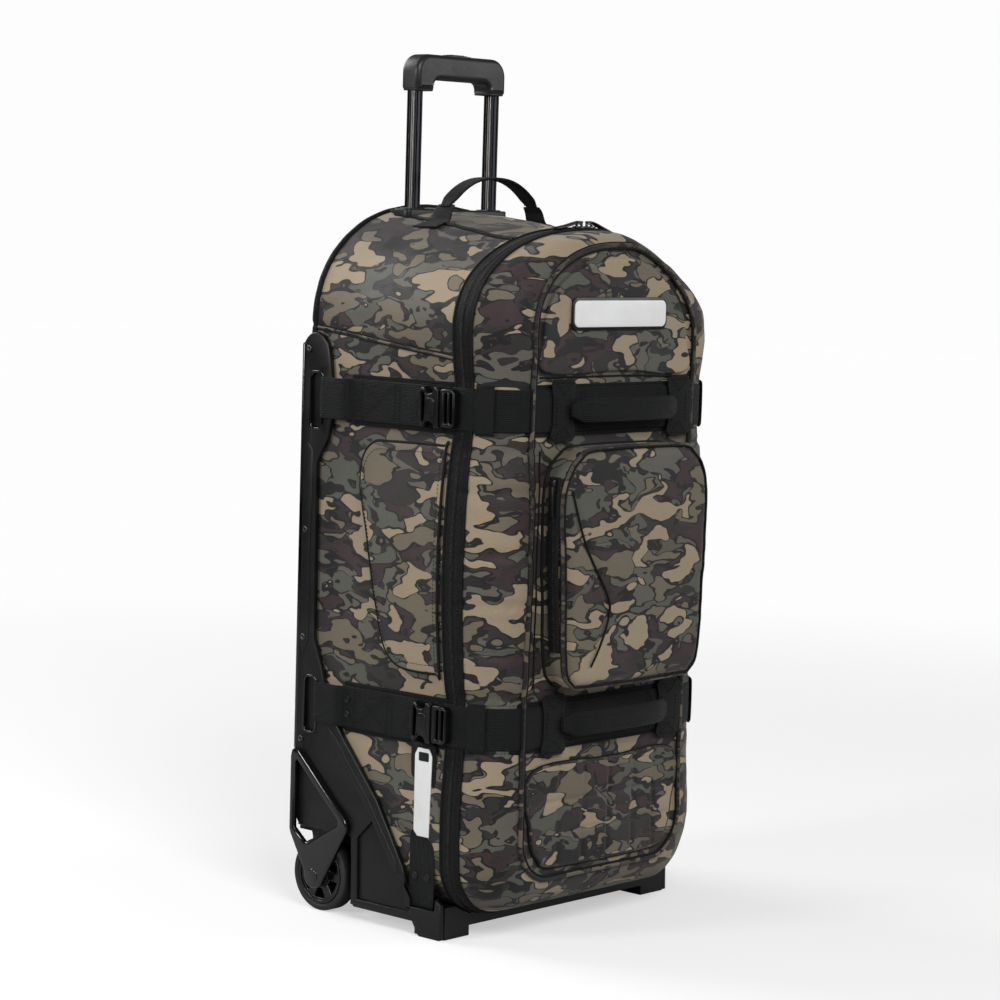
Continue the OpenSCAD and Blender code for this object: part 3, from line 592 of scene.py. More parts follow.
def front_at(x, z, lift=0.0):
    """A point on the lid's flat front."""
    base = Vector((x, FRONT_Y, z))
    p = base + Vector((0, -1, 0)) * (lift + crumple(base + Vector((3, 0, 0)), 0.7))
    p.x = tuck(p.x)
    return lean(p)


BACK_EDGE = 14 * MM


def build_shell():
    def place(u, v):
        if v < 0.2:
            k = v / 0.2
            x, z, normal = outline_with_normal(u, shell_shape(BACK_Y))
            edge = Vector((x, BACK_Y, z)) - normal * BACK_EDGE
            centre = Vector((0, BACK_Y, 0.45))
            return centre.lerp(edge, k) + Vector((0, 2.5 * MM * (1 - k * k), 0)) * (1 if z > 0.69 else 0)
        if v < 0.3:
            a = (v - 0.2) / 0.1 * math.pi / 2
            y = BACK_Y - BACK_EDGE + BACK_EDGE * math.cos(a)
            return shell_at(u, y, BACK_EDGE * (math.sin(a) - 1))
        y = mix(BACK_Y - BACK_EDGE, ZIP_Y, (v - 0.3) / 0.7)
        return shell_at(u, y)

    shell = surface("shell_cloth", place, 440, 72, [CLOTH, LINING])
    add_modifier(shell, "SOLIDIFY", thickness=3 * MM, offset=-1, material_offset=1)
    return piece(shell, "bag", "camo_fabric", ["body_shell"])


def build_lid():
    def place(u, v):
        if v < 0.55:
            return lid_at(u, v / 0.55 * math.pi / 2)
        edge = lid_at(u, math.pi / 2)
        k = (v - 0.55) / 0.45
        x, z = mix(edge.x, 0.0, k), mix(edge.z, 0.44, k)
        return front_at(x, z) if k > 0.02 else edge

    lid = surface("lid_cloth", place, 440, 64, [CLOTH, LINING])
    add_modifier(lid, "SOLIDIFY", thickness=3 * MM, offset=-1, material_offset=1)
    return piece(lid, "lid", "camo_fabric", ["lid_shell"])


def mm(x, y, z):
    return Vector((x, y, z)) * MM


def smooth_line(points, steps=8, closed=False):
    """Points along a smooth line through the given ones."""
    p = [Vector(q) for q in points]
    n = len(p)
    line = []
    for i in range(n if closed else n - 1):
        a, b, c, d = (p[k % n] if closed else p[max(0, min(n - 1, k))] for k in range(i - 1, i + 3))
        for j in range(steps):
            k = j / steps
            line.append(0.5 * (2 * b + (c - a) * k + (2 * a - 5 * b + 4 * c - d) * k ** 2
                               + (3 * b - a - 3 * c + d) * k ** 3))
    return line if closed else line + [p[-1]]


def even_steps(path, pitch):
    """Points spaced evenly along a line, with the direction at each."""
    spots, left = [], 0.0
    for a, b in zip(path, path[1:]):
        run = (b - a).length
        if run < 1e-7:
            continue
        while left < run:
            spots.append((a.lerp(b, left / run), (b - a) / run))
            left += pitch
        left -= run
    return spots


def small_parts(name, spots, size, material):
    """The same little part, such as a stitch or a tooth, at each spot and turned along it."""
    bm = bmesh.new()
    for place, along in spots:
        turn = along.to_track_quat("X", "Z").to_matrix().to_4x4()
        matrix = Matrix.Translation(place) @ turn @ Matrix.Diagonal((*size, 1.0))
        bmesh.ops.create_icosphere(bm, subdivisions=1, radius=0.5, matrix=matrix)
    return make_object(name, bm, material, recalc=False)


def stitches(name, paths, material=None, pitch=4.6 * MM, size=(3.4 * MM, 1.0 * MM, 0.9 * MM)):
    return small_parts(name, [s for path in paths for s in even_steps(path, pitch)], size, material or THREAD)


def ribbon(name, path, width, thick, across, material, taper=None, thicken=None):
    """Webbing: a flat section with soft edges carried along the path."""
    path = [Vector(p) for p in path]
    across = Vector(across).normalized()
    rows = len(path) - 1

    def place(u, v):
        i = round(v * rows)
        along = (path[min(i + 1, rows)] - path[max(i - 1, 0)]).normalized()
        out = along.cross(across).normalized()
        c, s = math.cos(u * 2 * math.pi), math.sin(u * 2 * math.pi)
        w = width / 2 * (taper(v) if taper else 1.0)
        t = thick / 2 * (thicken(v) if thicken else 1.0)
        power = 0.3 if not thicken else 0.75
        return path[i] + across * w * math.copysign(abs(c) ** power, c) + out * t * math.copysign(abs(s) ** 0.6, s)

    return surface(name, place, 40, rows, material, closed=True)


SHEETS = {"yz": Matrix(((0, 0, 1, 0), (1, 0, 0, 0), (0, 1, 0, 0), (0, 0, 0, 1))),
          "xz": Matrix(((1, 0, 0, 0), (0, 0, -1, 0), (0, 1, 0, 0), (0, 0, 0, 1))),
          "xy": Matrix.Identity(4)}


def cut_plate(name, outlines, low, high, edge, plane, material, segments=2):
    """A plate cut to a rim and holes, in mm, between two depths, with its edges rounded."""
    curve = bpy.data.curves.new(name, "CURVE")
    curve.dimensions = "2D"
    curve.fill_mode = "BOTH"
    curve.extrude = (high - low) / 2 - edge
    curve.bevel_depth = edge
    curve.bevel_resolution = segments
    curve.offset = -edge
    for outline in outlines:
        spline = curve.splines.new("POLY")
        spline.points.add(len(outline) - 1)
        for target, p in zip(spline.points, outline):
            target.co = (p[0], p[1], 0, 1)
        spline.use_cyclic_u = True
    mesh = curve_mesh(curve)
    bm = bmesh.new()
    bm.from_mesh(mesh)
    bpy.data.meshes.remove(mesh)
    bmesh.ops.remove_doubles(bm, verts=bm.verts, dist=0.01)
    bmesh.ops.translate(bm, verts=bm.verts, vec=(0, 0, (low + high) / 2))
    bmesh.ops.transform(bm, verts=bm.verts, matrix=Matrix.Scale(MM, 4) @ SHEETS[plane])
    obj = make_object(name, bm, material)
    obj.data.set_sharp_from_angle(angle=SHARP)
    return obj


def boxes(name, parts, material):
    """Overlapping moulded blocks: (low corner, high corner, edge radius), in mm."""
    bm = bmesh.new()
    for lo, hi, edge in parts:
        block(bm, [v * MM for v in lo], [v * MM for v in hi], edge * MM, 3)
    obj = make_object(name, bm, material)
    obj.data.set_sharp_from_angle(angle=SHARP)
    return obj


def arc(cx, cz, r, degrees, way=1):
    """Points on a circle; way -1 mirrors it across."""
    return [(cx + way * r * math.cos(math.radians(a)), cz + r * math.sin(math.radians(a))) for a in degrees]


def round_rect(x0, x1, z0, z1, r, steps=6):
    corners = ((x1 - r, z0 + r, -90), (x1 - r, z1 - r, 0), (x0 + r, z1 - r, 90), (x0 + r, z0 + r, 180))
    return [p for cx, cz, start in corners for p in arc(cx, cz, r, (start + 90 * i / steps for i in range(steps + 1)))]


def disc(cx, cz, r, steps=48):
    return [(cx + r * math.cos(2 * math.pi * i / steps), cz + r * math.sin(2 * math.pi * i / steps))
            for i in range(steps)]


def merged(name, parts):
    """One piece from several made separately; each keeps its own material."""
    bm = bmesh.new()
    materials = []
    for part in parts:
        start = len(bm.faces)
        bm.from_mesh(part.data)
        bm.faces.ensure_lookup_table()
        index = [materials.index(m) if m in materials else materials.append(m) or len(materials) - 1
                 for m in part.data.materials]
        for face in bm.faces[start:]:
            face.material_index = index[min(face.material_index, len(index) - 1)]
        mesh = part.data
        bpy.data.objects.remove(part)
        bpy.data.meshes.remove(mesh)
    mesh = bpy.data.meshes.new(name)
    bm.to_mesh(mesh)
    bm.free()
    for material in materials:
        mesh.materials.append(material)
    obj = linked(name, mesh)
    return obj


SHELL = build_shell()
LID = build_lid()

# ---------- places on the shell and lid ----------


def side_t(z):
    """Where along the left half of the outline a height on the straight side lies."""
    low, high = SHELL_BOTTOM + 60 * MM, LID_TOP - 126 * MM
    return 1 - (LOOP[1] + (z - low) / (high - low) * (LOOP[2] - LOOP[1])) / 2


def on_side(y, z, lift=0.0):
    """A point on the shell's left side, from y and z in mm."""
    return shell_at(side_t(z * MM), y * MM, lift * MM)


def on_front(x, z, lift=0.0):
    return front_at(x * MM, z * MM, lift * MM)


ZIP_START, ZIP_END = 0.345, 1.055     # along the outline, from the arch's right end round to the bottom's middle
ZIP_RUN = [ZIP_START + i * (ZIP_END - ZIP_START) / 420 for i in range(421)]


def piped_seam(name, path, closed=False, radius=2.6 * MM, inward=None):
    """A cord of printed cloth with a dark edge on each side."""
    parts = [tube(name + "_cord", path, radius, PIPING, closed, sides=8)]
    for side in (-1, 1):
        edge = []
        n = len(path)
        for i, p in enumerate(path):
            a, b = (path[(i - 1) % n], path[(i + 1) % n]) if closed else (path[max(0, i - 1)], path[min(n - 1, i + 1)])
            out = inward(p) if callable(inward) else Vector(inward or (0, -1, 0))
            edge.append(p + (b - a).cross(out).normalized() * radius * 1.25 * side - out * radius * 0.35)
        parts.append(tube(name + "_edge", edge, radius * 0.5, THREAD, closed, sides=6))
    return merged(name, parts)


def build_zips():
    """Main zip: a tape and a row of teeth on each side of the opening, and a dark cord at each tape's outer edge."""
    def tape(name, place_at, width, body, node, teeth_y):
        rows = len(ZIP_RUN) - 1
        strip = surface(name, lambda u, v: place_at(ZIP_RUN[round(u * rows)] % 1.0, v * width,
                                                    1.6 * MM - 0.9 * MM * v ** 4),
                        rows, 6, TAPE, flip=body == "bag")
        add_modifier(strip, "SOLIDIFY", thickness=1.0 * MM, offset=-1)
        piece(strip, body, "zip_tape", [node])
        line = [place_at(t % 1.0, teeth_y, 2.0 * MM) for t in ZIP_RUN]
        teeth = small_parts(name + "_teeth", even_steps(line, 2.1 * MM), (1.25 * MM, 2.8 * MM, 1.9 * MM), COIL)
        piece(teeth, body, "zip_tape")
        stitch_line = [place_at(t % 1.0, width * 0.62, 2.2 * MM) for t in ZIP_RUN]
        piece(stitches(name + "_stitch", [stitch_line], pitch=3.4 * MM, size=(2.4 * MM, 0.7 * MM, 0.6 * MM)), body,
              "zip_tape")
        hem = tube(name + "_hem", [place_at(t % 1.0, width, 1.2 * MM) for t in ZIP_RUN], 1.5 * MM, THREAD)
        piece(hem, body, "zip_tape")

    tape("zip_tape_shell", lambda t, d, lift: shell_at(t, ZIP_Y + d, lift), 13 * MM, "bag", "body_zip_tape", 0.5 * MM)
    tape("zip_tape_lid", lambda t, d, lift: lid_at(t, math.asin(clamp(d / LID_ROUND)), lift), 13 * MM, "lid",
         "lid_zip_tape", 0.9 * MM)


def build_hinge_cloth():
    """Cloth across the hinge side, where the lid has no zip."""
    half = 15 * MM
    low, high = 0.112, 0.325

    def place(u, v):
        t = mix(low, high, u)
        d = mix(-half, half, v)
        if d > 0:
            return shell_at(t, ZIP_Y + d, 1.8 * MM)
        return lid_at(t, math.asin(clamp(-d / LID_ROUND)), 1.8 * MM)

    cloth = surface("hinge_cloth", place, 200, 14, CLOTH)
    add_modifier(cloth, "SOLIDIFY", thickness=0.8 * MM, offset=-1)
    edge = shell_at(low, ZIP_Y, 0).z, shell_at(high, ZIP_Y, 0).z
    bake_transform(cloth)


def build_shell_seams():
    """Seams and bindings of the shell: top back edge, shoulder seams and side seam."""
    arch = [0.30 + i * 0.40 / 160 for i in range(161)]
    binding = [shell_at(t, BACK_Y - 6 * MM, -1.0 * MM) for t in arch]
    piece(tube("back_binding", binding, 4.2 * MM, TAPE, sides=8), "bag", "webbing")
    shoulders, sides = [], []
    for side in (-1, 1):
        shoulders.append([shell_at(0.5 - side * mix(0.038, 0.056, i / 60),
                                   mix(BACK_Y - 10 * MM, ZIP_Y + 14 * MM, i / 60), 1.2 * MM)
                          for i in range(61)])
        seam = [on_side(y, 703 - (167 - y) * 0.11, 0.8) for y in (mix(164, -62, i / 60) for i in range(61))]
        sides.append([Vector((p.x * -side, p.y, p.z)) for p in seam])
    piece(merged("shoulder_bindings", [tube("binding", line, 2.6 * MM, TAPE, sides=8) for line in shoulders]), "bag",
          "webbing")
    piped = [piped_seam("side_seam", line, radius=2.0 * MM, inward=(-math.copysign(1, line[0].x), 0, 0))
             for line in sides]
    piece(merged("side_seams", piped), "bag", "camo_fabric")
    beside = [[p + Vector((0, 0, 6.5 * MM)) for p in line] for line in sides]
    piece(stitches("shell_stitching", beside), "bag", "webbing")


def pad(name, outline, at, depth, edge, material, centre, seams=(), puff=1.0, rings=40, cells=240):
    """A soft pad on a base surface. outline(u) is its rim; at(a, b, lift) puts a point on the base."""
    def height(a, b, k):
        """Lift in mm inside the rim, k from 0 there to 1 at the centre; puff adds thousandths of a mm only."""
        lift = depth + puff * MM * (1 - (1 - k) ** 3)
        for seam, width, sink in seams:
            lift -= sink * bell(seam(a, b), width)
        return lift

    def place(u, v):
        a, b = outline(u % 1.0)
        ca, cb = centre
        if v < 0.2:
            return at(a, b, depth * MM - (depth - edge) * MM * (1 - v / 0.2) - edge * MM)
        if v < 0.4:
            turn = (v - 0.2) / 0.2 * math.pi / 2
            inset = edge * (1 - math.cos(turn))
            span = math.hypot(ca - a, cb - b)
            k = inset / span
            return at(mix(a, ca, k), mix(b, cb, k), (depth - edge + edge * math.sin(turn)) * MM)
        span = math.hypot(ca - a, cb - b)
        start = edge / span
        k = (v - 0.4) / 0.6
        f = mix(start, 1.0, k)
        a2, b2 = mix(a, ca, f), mix(b, cb, f)
        return at(a2, b2, height(a2, b2, k) * MM)

    return surface(name, place, cells, rings, material, merge=4e-5, recalc=True)


def build_front_pockets():
    def loop(points):
        line = smooth_line([Vector((x, z, 0)) for x, z in points], 6, closed=True)
        lengths = [0.0]
        for a, b in zip(line, line[1:] + line[:1]):
            lengths.append(lengths[-1] + (b - a).length)

        def at(u):
            target = u * lengths[-1]
            lo, hi = 0, len(line) - 1
            while lo < hi:
                middle = (lo + hi + 1) // 2
                if lengths[middle] <= target:
                    lo = middle
                else:
                    hi = middle - 1
            k = (target - lengths[lo]) / (lengths[lo + 1] - lengths[lo])
            p = line[lo].lerp(line[(lo + 1) % len(line)], k)
            return p.x, p.y
        return at

    def crease(x0, z0, x1, z1):
        """Distance of a point from a straight sewn line."""
        a, b = Vector((x0, z0)), Vector((x1, z1))
        def away(x, z):
            p = Vector((x, z))
            k = clamp((p - a).dot(b - a) / (b - a).length_squared)
            return (p - a.lerp(b, k)).length
        return away

    # middle pocket: a deep zipped box with a soft crowned front
    rim = [(-84, 299), (84, 299), (108, 305), (120, 325), (126, 400), (129, 470), (130, 522), (122, 550), (104, 568),
           (74, 577), (-74, 577), (-104, 568), (-122, 550), (-130, 522), (-129, 470), (-126, 400), (-120, 325),
           (-108, 305)]
    deep = (FRONT_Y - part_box("middle_pocket")[0].y) / MM - 1.5
    middle_rim = loop(rim)
    curved = [(-121, 532), (-96, 470), (-56, 410), (-50, 385), (-62, 352), (-80, 325)]
    sewn = [(crease(*curved[i], *curved[i + 1]), 4.5, 2.0) for i in range(len(curved) - 1)]

    def on_middle(x, z, lift):
        k = clamp(lift / (deep * MM))
        sag = -3.0 * MM * k * math.sin(math.pi * clamp((z - 299) / 279))
        swell = 1 + 0.012 * k
        p = Vector((tuck(x * MM * swell, 0.1), FRONT_Y - lift, z * MM + sag))
        return p + Vector((0.6, -1, 0)) * crumple(p + Vector((0, 7, 0)), 0.75) * k

    middle = pad("middle_pocket_cloth", middle_rim, on_middle, deep, 15, CLOTH, (0, 440), sewn, puff=1.5, rings=54,
                 cells=260)
    piece(middle, "lid", "camo_fabric", ["middle_pocket"])
    fold = [on_middle(*middle_rim(i / 200), (deep - 6) * MM) for i in range(200)]
    piece(piped_seam("middle_pocket_piping", fold, True, 2.4 * MM,
                     lambda p: Vector((p.x, -0.05, p.z - 0.44)).normalized()),
          "lid", "camo_fabric")
    base_line = [on_front(*middle_rim(i / 160), 1.0) for i in range(160)]
    piece(tube("middle_pocket_binding", base_line, 2.2 * MM, THREAD, True), "lid", "webbing")
    seam = smooth_line([on_middle(x, z, (deep + 0.4) * MM) for x, z in curved], 10)
    piece(tube("middle_pocket_seam", seam, 1.3 * MM, THREAD), "lid", "webbing")

    # its zip follows the front left edge
    ends = [(-128.5, 548), (-129.5, 520), (-129, 470), (-126.5, 410), (-121, 345)]
    run = smooth_line([Vector((x * 1.012, 0, z)) for x, z in ends], 16)
    def zip_at(p, across, lift):
        return Vector((p.x - lift, FRONT_Y / MM - deep + 19 + across, p.z - 2.4)) * MM
    strip = surface("pocket_zip_tape", lambda u, v: zip_at(run[round(u * (len(run) - 1))], mix(-8, 8, v), 2.2),
                    len(run) - 1, 4, TAPE)
    add_modifier(strip, "SOLIDIFY", thickness=1.2 * MM, offset=0)
    piece(strip, "lid", "zip_tape", ["pocket_zip"])
    teeth = small_parts("pocket_zip_teeth", even_steps([zip_at(p, 0, 3.2) for p in run], 1.9 * MM),
                        (1.1 * MM, 4.2 * MM, 1.6 * MM), COIL)
    piece(teeth, "lid", "zip_tape")
    pull_top = zip_at(run[4], 0, 4.2) / MM
    puller = boxes("pocket_zip_pull", [((pull_top.x - 2.2, pull_top.y - 4, pull_top.z - 12),
                                        (pull_top.x + 1.5, pull_top.y + 4, pull_top.z + 2), 1.4),
                                       ((pull_top.x - 3.6, pull_top.y - 3, pull_top.z - 42),
                                        (pull_top.x - 1.2, pull_top.y + 3, pull_top.z - 6), 1.1)], BUCKLE)
    piece(puller, "lid", "zip_pull")

    # upper panel, under the badge
    upper = [(-136, 664), (0, 664), (136, 664), (138, 704)]
    upper += [(138 * math.copysign(abs(math.cos(a)) ** (2 / 2.3), math.cos(a)), 704
               + 92 * abs(math.sin(a)) ** (2 / 2.3))
              for a in [math.radians(d) for d in range(12, 180, 12)]] + [(-138, 704)]
    top_panel = pad("upper_pocket_cloth", loop(upper), lambda x, z, lift: on_front(x, z) + Vector((0, -lift, 0)), 5.0,
                    3.0, CLOTH,
                    (0, 716), puff=1.0, rings=24, cells=200)
    piece(top_panel, "lid", "camo_fabric", ["upper_pocket"])

    # lower pocket, quilted into squares
    lower = [(-90, 86), (90, 86), (122, 98), (136, 130), (136, 200), (0, 203), (-136, 200), (-136, 130), (-122, 98)]
    squares = [(lambda x, z, at=v: x - at, 3.0, 1.8) for v in (-90, -45, 0, 45, 90)]
    squares += [(lambda x, z, at=v: z - at, 3.0, 1.8) for v in (124, 162)]
    lower_rim = loop(lower)
    lower_pad = pad("lower_pocket_cloth", lower_rim, lambda x, z, lift: on_front(x, z) + Vector((0, -lift, 0)), 5.0,
                    3.0, CLOTH,
                    (0, 146), squares, puff=1.4, rings=64, cells=300)
    piece(lower_pad, "lid", "camo_fabric", ["lower_pocket"])
    edge = [on_front(*lower_rim(i / 160), 3.0) for i in range(160)]
    piece(piped_seam("lower_pocket_piping", edge, True, 2.0 * MM), "lid", "camo_fabric")

    # piping round the lid's front panel and the seam below the upper panel
    a = math.radians(82)
    ring = [lid_at(i / 420, a, 1.2 * MM) for i in range(420)]
    piece(piped_seam("front_piping", ring, True, 2.9 * MM,
                     lambda p: Vector((p.x * 0.9, -0.25, (p.z - 0.44) * 0.35)).normalized()), "lid", "camo_fabric")
    lines = [[on_front(mix(-142, 142, i / 60), 658, 0.8) for i in range(61)]]
    lines += [[on_front(s * 128, mix(574, 300, i / 60), 0.6) + Vector((s * 9 * MM, 0, 0)) for i in range(61)]
              for s in (-1, 1)]
    piece(merged("front_seams", [tube("front_seam", line, 1.1 * MM, THREAD) for line in lines]), "lid", "webbing")


def build_side_pockets():
    points = [(-50, 312), (0, 312), (22, 322), (36, 344), (50, 400), (66, 470), (80, 520), (78, 552), (62, 572),
              (34, 575), (-50, 576),
              (-56, 570), (-56, 450), (-56, 318)]
    line = smooth_line([Vector((y, z, 0)) for y, z in points], 8, closed=True)

    def at(u):
        p = line[round(u * len(line)) % len(line)]
        return p.x, p.y

    pocket = pad("side_pocket_left", at, lambda y, z, lift: on_side(y, z, lift / MM + 0.3), 3.6, 2.4, CLOTH, (8, 445),
                 puff=1.2,
                 rings=26, cells=len(line))
    edge = [on_side(*at(i / len(line)), 2.6) for i in range(len(line))]
    cord = tube("side_pocket_cord", edge, 1.8 * MM, THREAD, True)
    inner = [on_side(*(Vector((8, 445)).lerp(Vector(at(i / len(line))), 0.93)), 5.2) for i in range(0, len(line) + 1)]
    sewn = stitches("side_pocket_stitch", [inner])
    for obj, slot, padded in ((pocket, "camo_fabric", True), (cord, "webbing", False), (sewn, "webbing", False)):
        right = mirrored(obj.name.replace("_left", "") + "_right", obj)
        for half in (obj, right):
            piece(half, "bag", slot, ["side_pockets"] if padded else ())


build_zips()
build_hinge_cloth()
build_shell_seams()
build_front_pockets()
build_side_pockets()

# ---------- straps ----------


def lid_plan(a, lift):
    """Beside the lid's rounded edge, in mm: distance from the middle, and depth."""
    return 200 - 54 * (1 - math.cos(a)) + lift * math.cos(a), ZIP_Y / MM - 0.3 - 61.7 * math.sin(a) - lift * math.sin(a)


def around_lid(lift, first=16, steps=9):
    """Points in plan round the lid at a lift in mm, from the left zip to the right one."""
    points = []
    for i in range(steps + 1):
        a = math.radians(mix(first, 90, i / steps))
        x, y = lid_plan(a, lift)
        points.append((-x, y, math.sin(a) ** 0.8))
    right = [(tuck(-x * MM, share) / MM, y) for x, y, share in reversed(points)]
    return [(x, y) for x, y, share in points] + [(0, points[-1][1])] + right


def level_path(points, z, steps=5):
    return smooth_line([mm(x, y, z) for x, y in points], steps)


def edge_stitches(path, across, width, inset=3.0 * MM, lift=1.2 * MM):
    """Two sewn lines along a strap, just inside its edges."""
    across = Vector(across)
    lines = []
    for side in (-1, 1):
        line = []
        for i, p in enumerate(path):
            along = path[min(i + 1, len(path) - 1)] - path[max(i - 1, 0)]
            out = along.cross(across).normalized()
            line.append(p + across * side * (width / 2 - inset) + out * lift)
        lines.append(line)
    return lines


def build_straps():
    up = (0, 0, 1)
    bands, straps, sewn, front_bands, front_straps, front_sewn = [], [], [], [], [], []
    for z in STRAP_HEIGHTS:
        for side in (-1, 1):
            band = level_path([(side * 200.9, y) for y in (101, 40, -10, -62)], z)
            bends = [(205, 150), (209, 146), (209.3, 136), (209.2, 112), (206.5, 104), (203, 97), (202.8, 60),
                     (202.8, -24 if side < 0 else -62)]
            strap = level_path([(side * x, y) for x, y in bends], z, 6)
            if side > 0:
                band.reverse()
                strap.reverse()
            bands.append(ribbon("band", band, 60 * MM, 1.3 * MM, up, WEB_Z))
            straps.append(ribbon("strap", strap, 49 * MM, 2.0 * MM, up, WEB_Z))
            sewn += edge_stitches(band, up, 60 * MM, 2.2 * MM, 0.9 * MM)
            for y in (84, 30, 22):
                sewn.append([mm(side * 204.0, y, z - 22), mm(side * 204.0, y, z + 22)])
            sewn.append([mm(side * 204.0, 84, z - 22), mm(side * 204.0, 30, z + 22)])
            sewn.append([mm(side * 204.0, 84, z + 22), mm(side * 204.0, 30, z - 22)])
        path = level_path(around_lid(0.95, 16), z, 4)
        front_bands.append(ribbon("front_band", path, 60 * MM, 1.3 * MM, up, WEB_Z))
        front_sewn += edge_stitches(path, Vector(up), 60 * MM, 2.2 * MM, 0.9 * MM)
        over = around_lid(2.9, 28)
        path = level_path([(-202.9, -62), (-202.9, -84)] + over, z, 4)
        front_straps.append(ribbon("front_strap", path, 49 * MM, 2.0 * MM, up, WEB_Z))
        for x in (-72, 72, -66, 66):
            front_sewn.append([mm(x, FRONT_Y / MM - 4.2, z - 21), mm(x, FRONT_Y / MM - 4.2, z + 21)])
    piece(merged("side_bands_webbing", bands), "bag", "webbing", ["side_bands"])
    piece(merged("side_straps_webbing", straps), "bag", "webbing", ["side_straps"])
    piece(stitches("side_strap_stitching", sewn), "bag", "webbing")
    piece(merged("front_bands_webbing", front_bands), "lid", "webbing", ["front_bands"])
    piece(merged("front_straps_webbing", front_straps), "lid", "webbing", ["front_straps"])
    piece(stitches("front_strap_stitching", front_sewn), "lid", "webbing")

    y = -33
    legs = []
    for side in (-1, 1):
        path = smooth_line([mm(side * 202.8, y, 34), mm(side * 202.9, y, 100), mm(side * 202.8, y + 1, 170),
                            mm(side * 202.8, y + 2, 228)], 8)
        if side > 0:
            path.reverse()
        legs.append(ribbon("leg", path, 40 * MM, 2.0 * MM, (0, 1, 0), WEB_Y))
    piece(merged("corner_straps_webbing", legs), "bag", "webbing", ["corner_straps"])

    # keepers that hold the loose strap ends on the lid
    loops = []
    for z in STRAP_HEIGHTS:
        for side, at_angle in ((-1, 27), (1, 42)):
            a = math.radians(at_angle)
            x, y = lid_plan(a, 4.6)
            if side > 0:
                x = tuck(x * MM, math.sin(a) ** 0.8) / MM
            normal = Vector((side * math.cos(a), -math.sin(a) * 0.9, 0)).normalized()
            along = normal.cross(Vector((0, 0, 1)))
            centre = mm(side * x, y, z)
            path = smooth_line([centre + normal * MM * lift + Vector((0, 0, h * MM)) for lift, h in
                                ((-2.4, -28), (-0.6, -26.5), (0.3, -22), (0.6, 0), (0.3, 22), (-0.6, 26.5),
                                 (-2.4, 28))], 5)
            loops.append(ribbon("keeper", path, 22 * MM, 1.6 * MM, along, WEB_Y))
    piece(merged("strap_keepers", loops), "lid", "webbing")


def build_haul_grips():
    tabs, sewn = [], []
    tab_y = -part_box("haul_tabs")[1].y / MM
    for z in STRAP_HEIGHTS:
        for side in (-1, 1):
            x = side * 105
            outline = [(x - 15, z - 36), (x + 15, z - 36), (x + 22, z - 30), (x + 18, z - 14), (x + 18, z + 14),
                       (x + 22, z + 30),
                       (x + 15, z + 36), (x - 15, z + 36), (x - 22, z + 30), (x - 18, z + 14), (x - 18, z - 14),
                       (x - 22, z - 30)]
            tabs.append(cut_plate("tab", [outline], tab_y, tab_y + 2.4, 0.7, "xz", WEB_Z))
            y = -(tab_y + 2.8)
            for dz in (-1, 1):
                sewn.append([mm(x - 14, y, z + dz * 32), mm(x + 14, y, z + dz * 32), mm(x, y, z + dz * 18),
                             mm(x - 14, y, z + dz * 32)])
            sewn.append([mm(x - 13, y, z - 15), mm(x - 13, y, z + 15)])
            sewn.append([mm(x + 13, y, z - 15), mm(x + 13, y, z + 15)])
    piece(merged("haul_tabs_webbing", tabs), "lid", "webbing", ["haul_tabs"])
    piece(stitches("haul_tab_stitching", sewn), "lid", "webbing")
    for name, z in zip(("lower", "upper"), STRAP_HEIGHTS):
        pivot_y = -149.3
        reach = 97
        points = []
        for i in range(-24, 25):
            u = i / 24
            points.append(mm(u * reach, pivot_y - 15.0 * (1 - abs(u) ** 2.6) ** 0.75 + 1.0, z))
        wide = lambda v: mix(0.52, 1.0, smooth(0.0, 0.10, min(v, 1 - v)))
        full = lambda v: mix(0.6, 1.15, smooth(0.04, 0.16, min(v, 1 - v)))
        grip = ribbon(f"haul_grip_{name}_webbing", points, 28 * MM, 5.0 * MM, (0, 0, 1), WEB_Z, taper=wide,
                      thicken=full)
        piece(grip, f"haul_{name}", "webbing", [f"haul_grip_{name}"])
        line = [p + Vector((0, -3.0 * MM, 0)) for p in points[5:-5]]
        piece(stitches(f"haul_grip_{name}_stitching",
                       [[p + Vector((0, 0.5 * MM, d * MM)) for p in line] for d in (-7, 7)]), f"haul_{name}", "webbing")


def build_grab_handle():
    x_end, pivot, rise, y = 80, 848, 37, 75
    points = [mm(u / 12 * x_end, y, pivot + (rise - 1) * (1 - abs(u / 12) ** 2.4) + 1.5) for u in range(-12, 13)]
    points = smooth_line(points, 3)
    strap = ribbon("grab_strap", points, 24 * MM, 3.2 * MM, (0, 1, 0), WEB_Y,
                   taper=lambda v: mix(0.62, 1.0, smooth(0.0, 0.08, min(v, 1 - v))))
    piece(strap, "grab", "webbing", ["grab_handle"])
    piece(stitches("grab_strap_stitching", edge_stitches(points, Vector((0, 1, 0)), 24 * MM, 3.4 * MM, -1.7 * MM)),
          "grab", "webbing")
    tabs = []
    for side in (-1, 1):
        def on_top(x, lift):
            a = math.acos((x / 200) ** (ARCH_POWER / 2))
            s = LOOP[2] + (1 - LOOP[2]) * a / (math.pi / 2)
            return shell_at(s / 2 if side > 0 else 1 - s / 2, y * MM, lift * MM)
        ends = [mm(side * (x_end - 4), y, 852.0), mm(side * (x_end + 1), y, 845.5)]
        path = smooth_line(ends + [on_top(x, 2.2) for x in (86, 94, 104, 114)], 6)
        if side < 0:
            path.reverse()
        tabs.append(ribbon("grab_tab", path, 34 * MM, 2.2 * MM, (0, 1, 0), WEB_Y,
                           taper=lambda v: mix(0.78, 1.15, v if side > 0 else 1 - v)))
    piece(merged("grab_tabs_webbing", tabs), "bag", "webbing", ["grab_handle_tabs"])


build_straps()
build_haul_grips()
build_grab_handle()

# ---------- deck, wheels and handle ----------


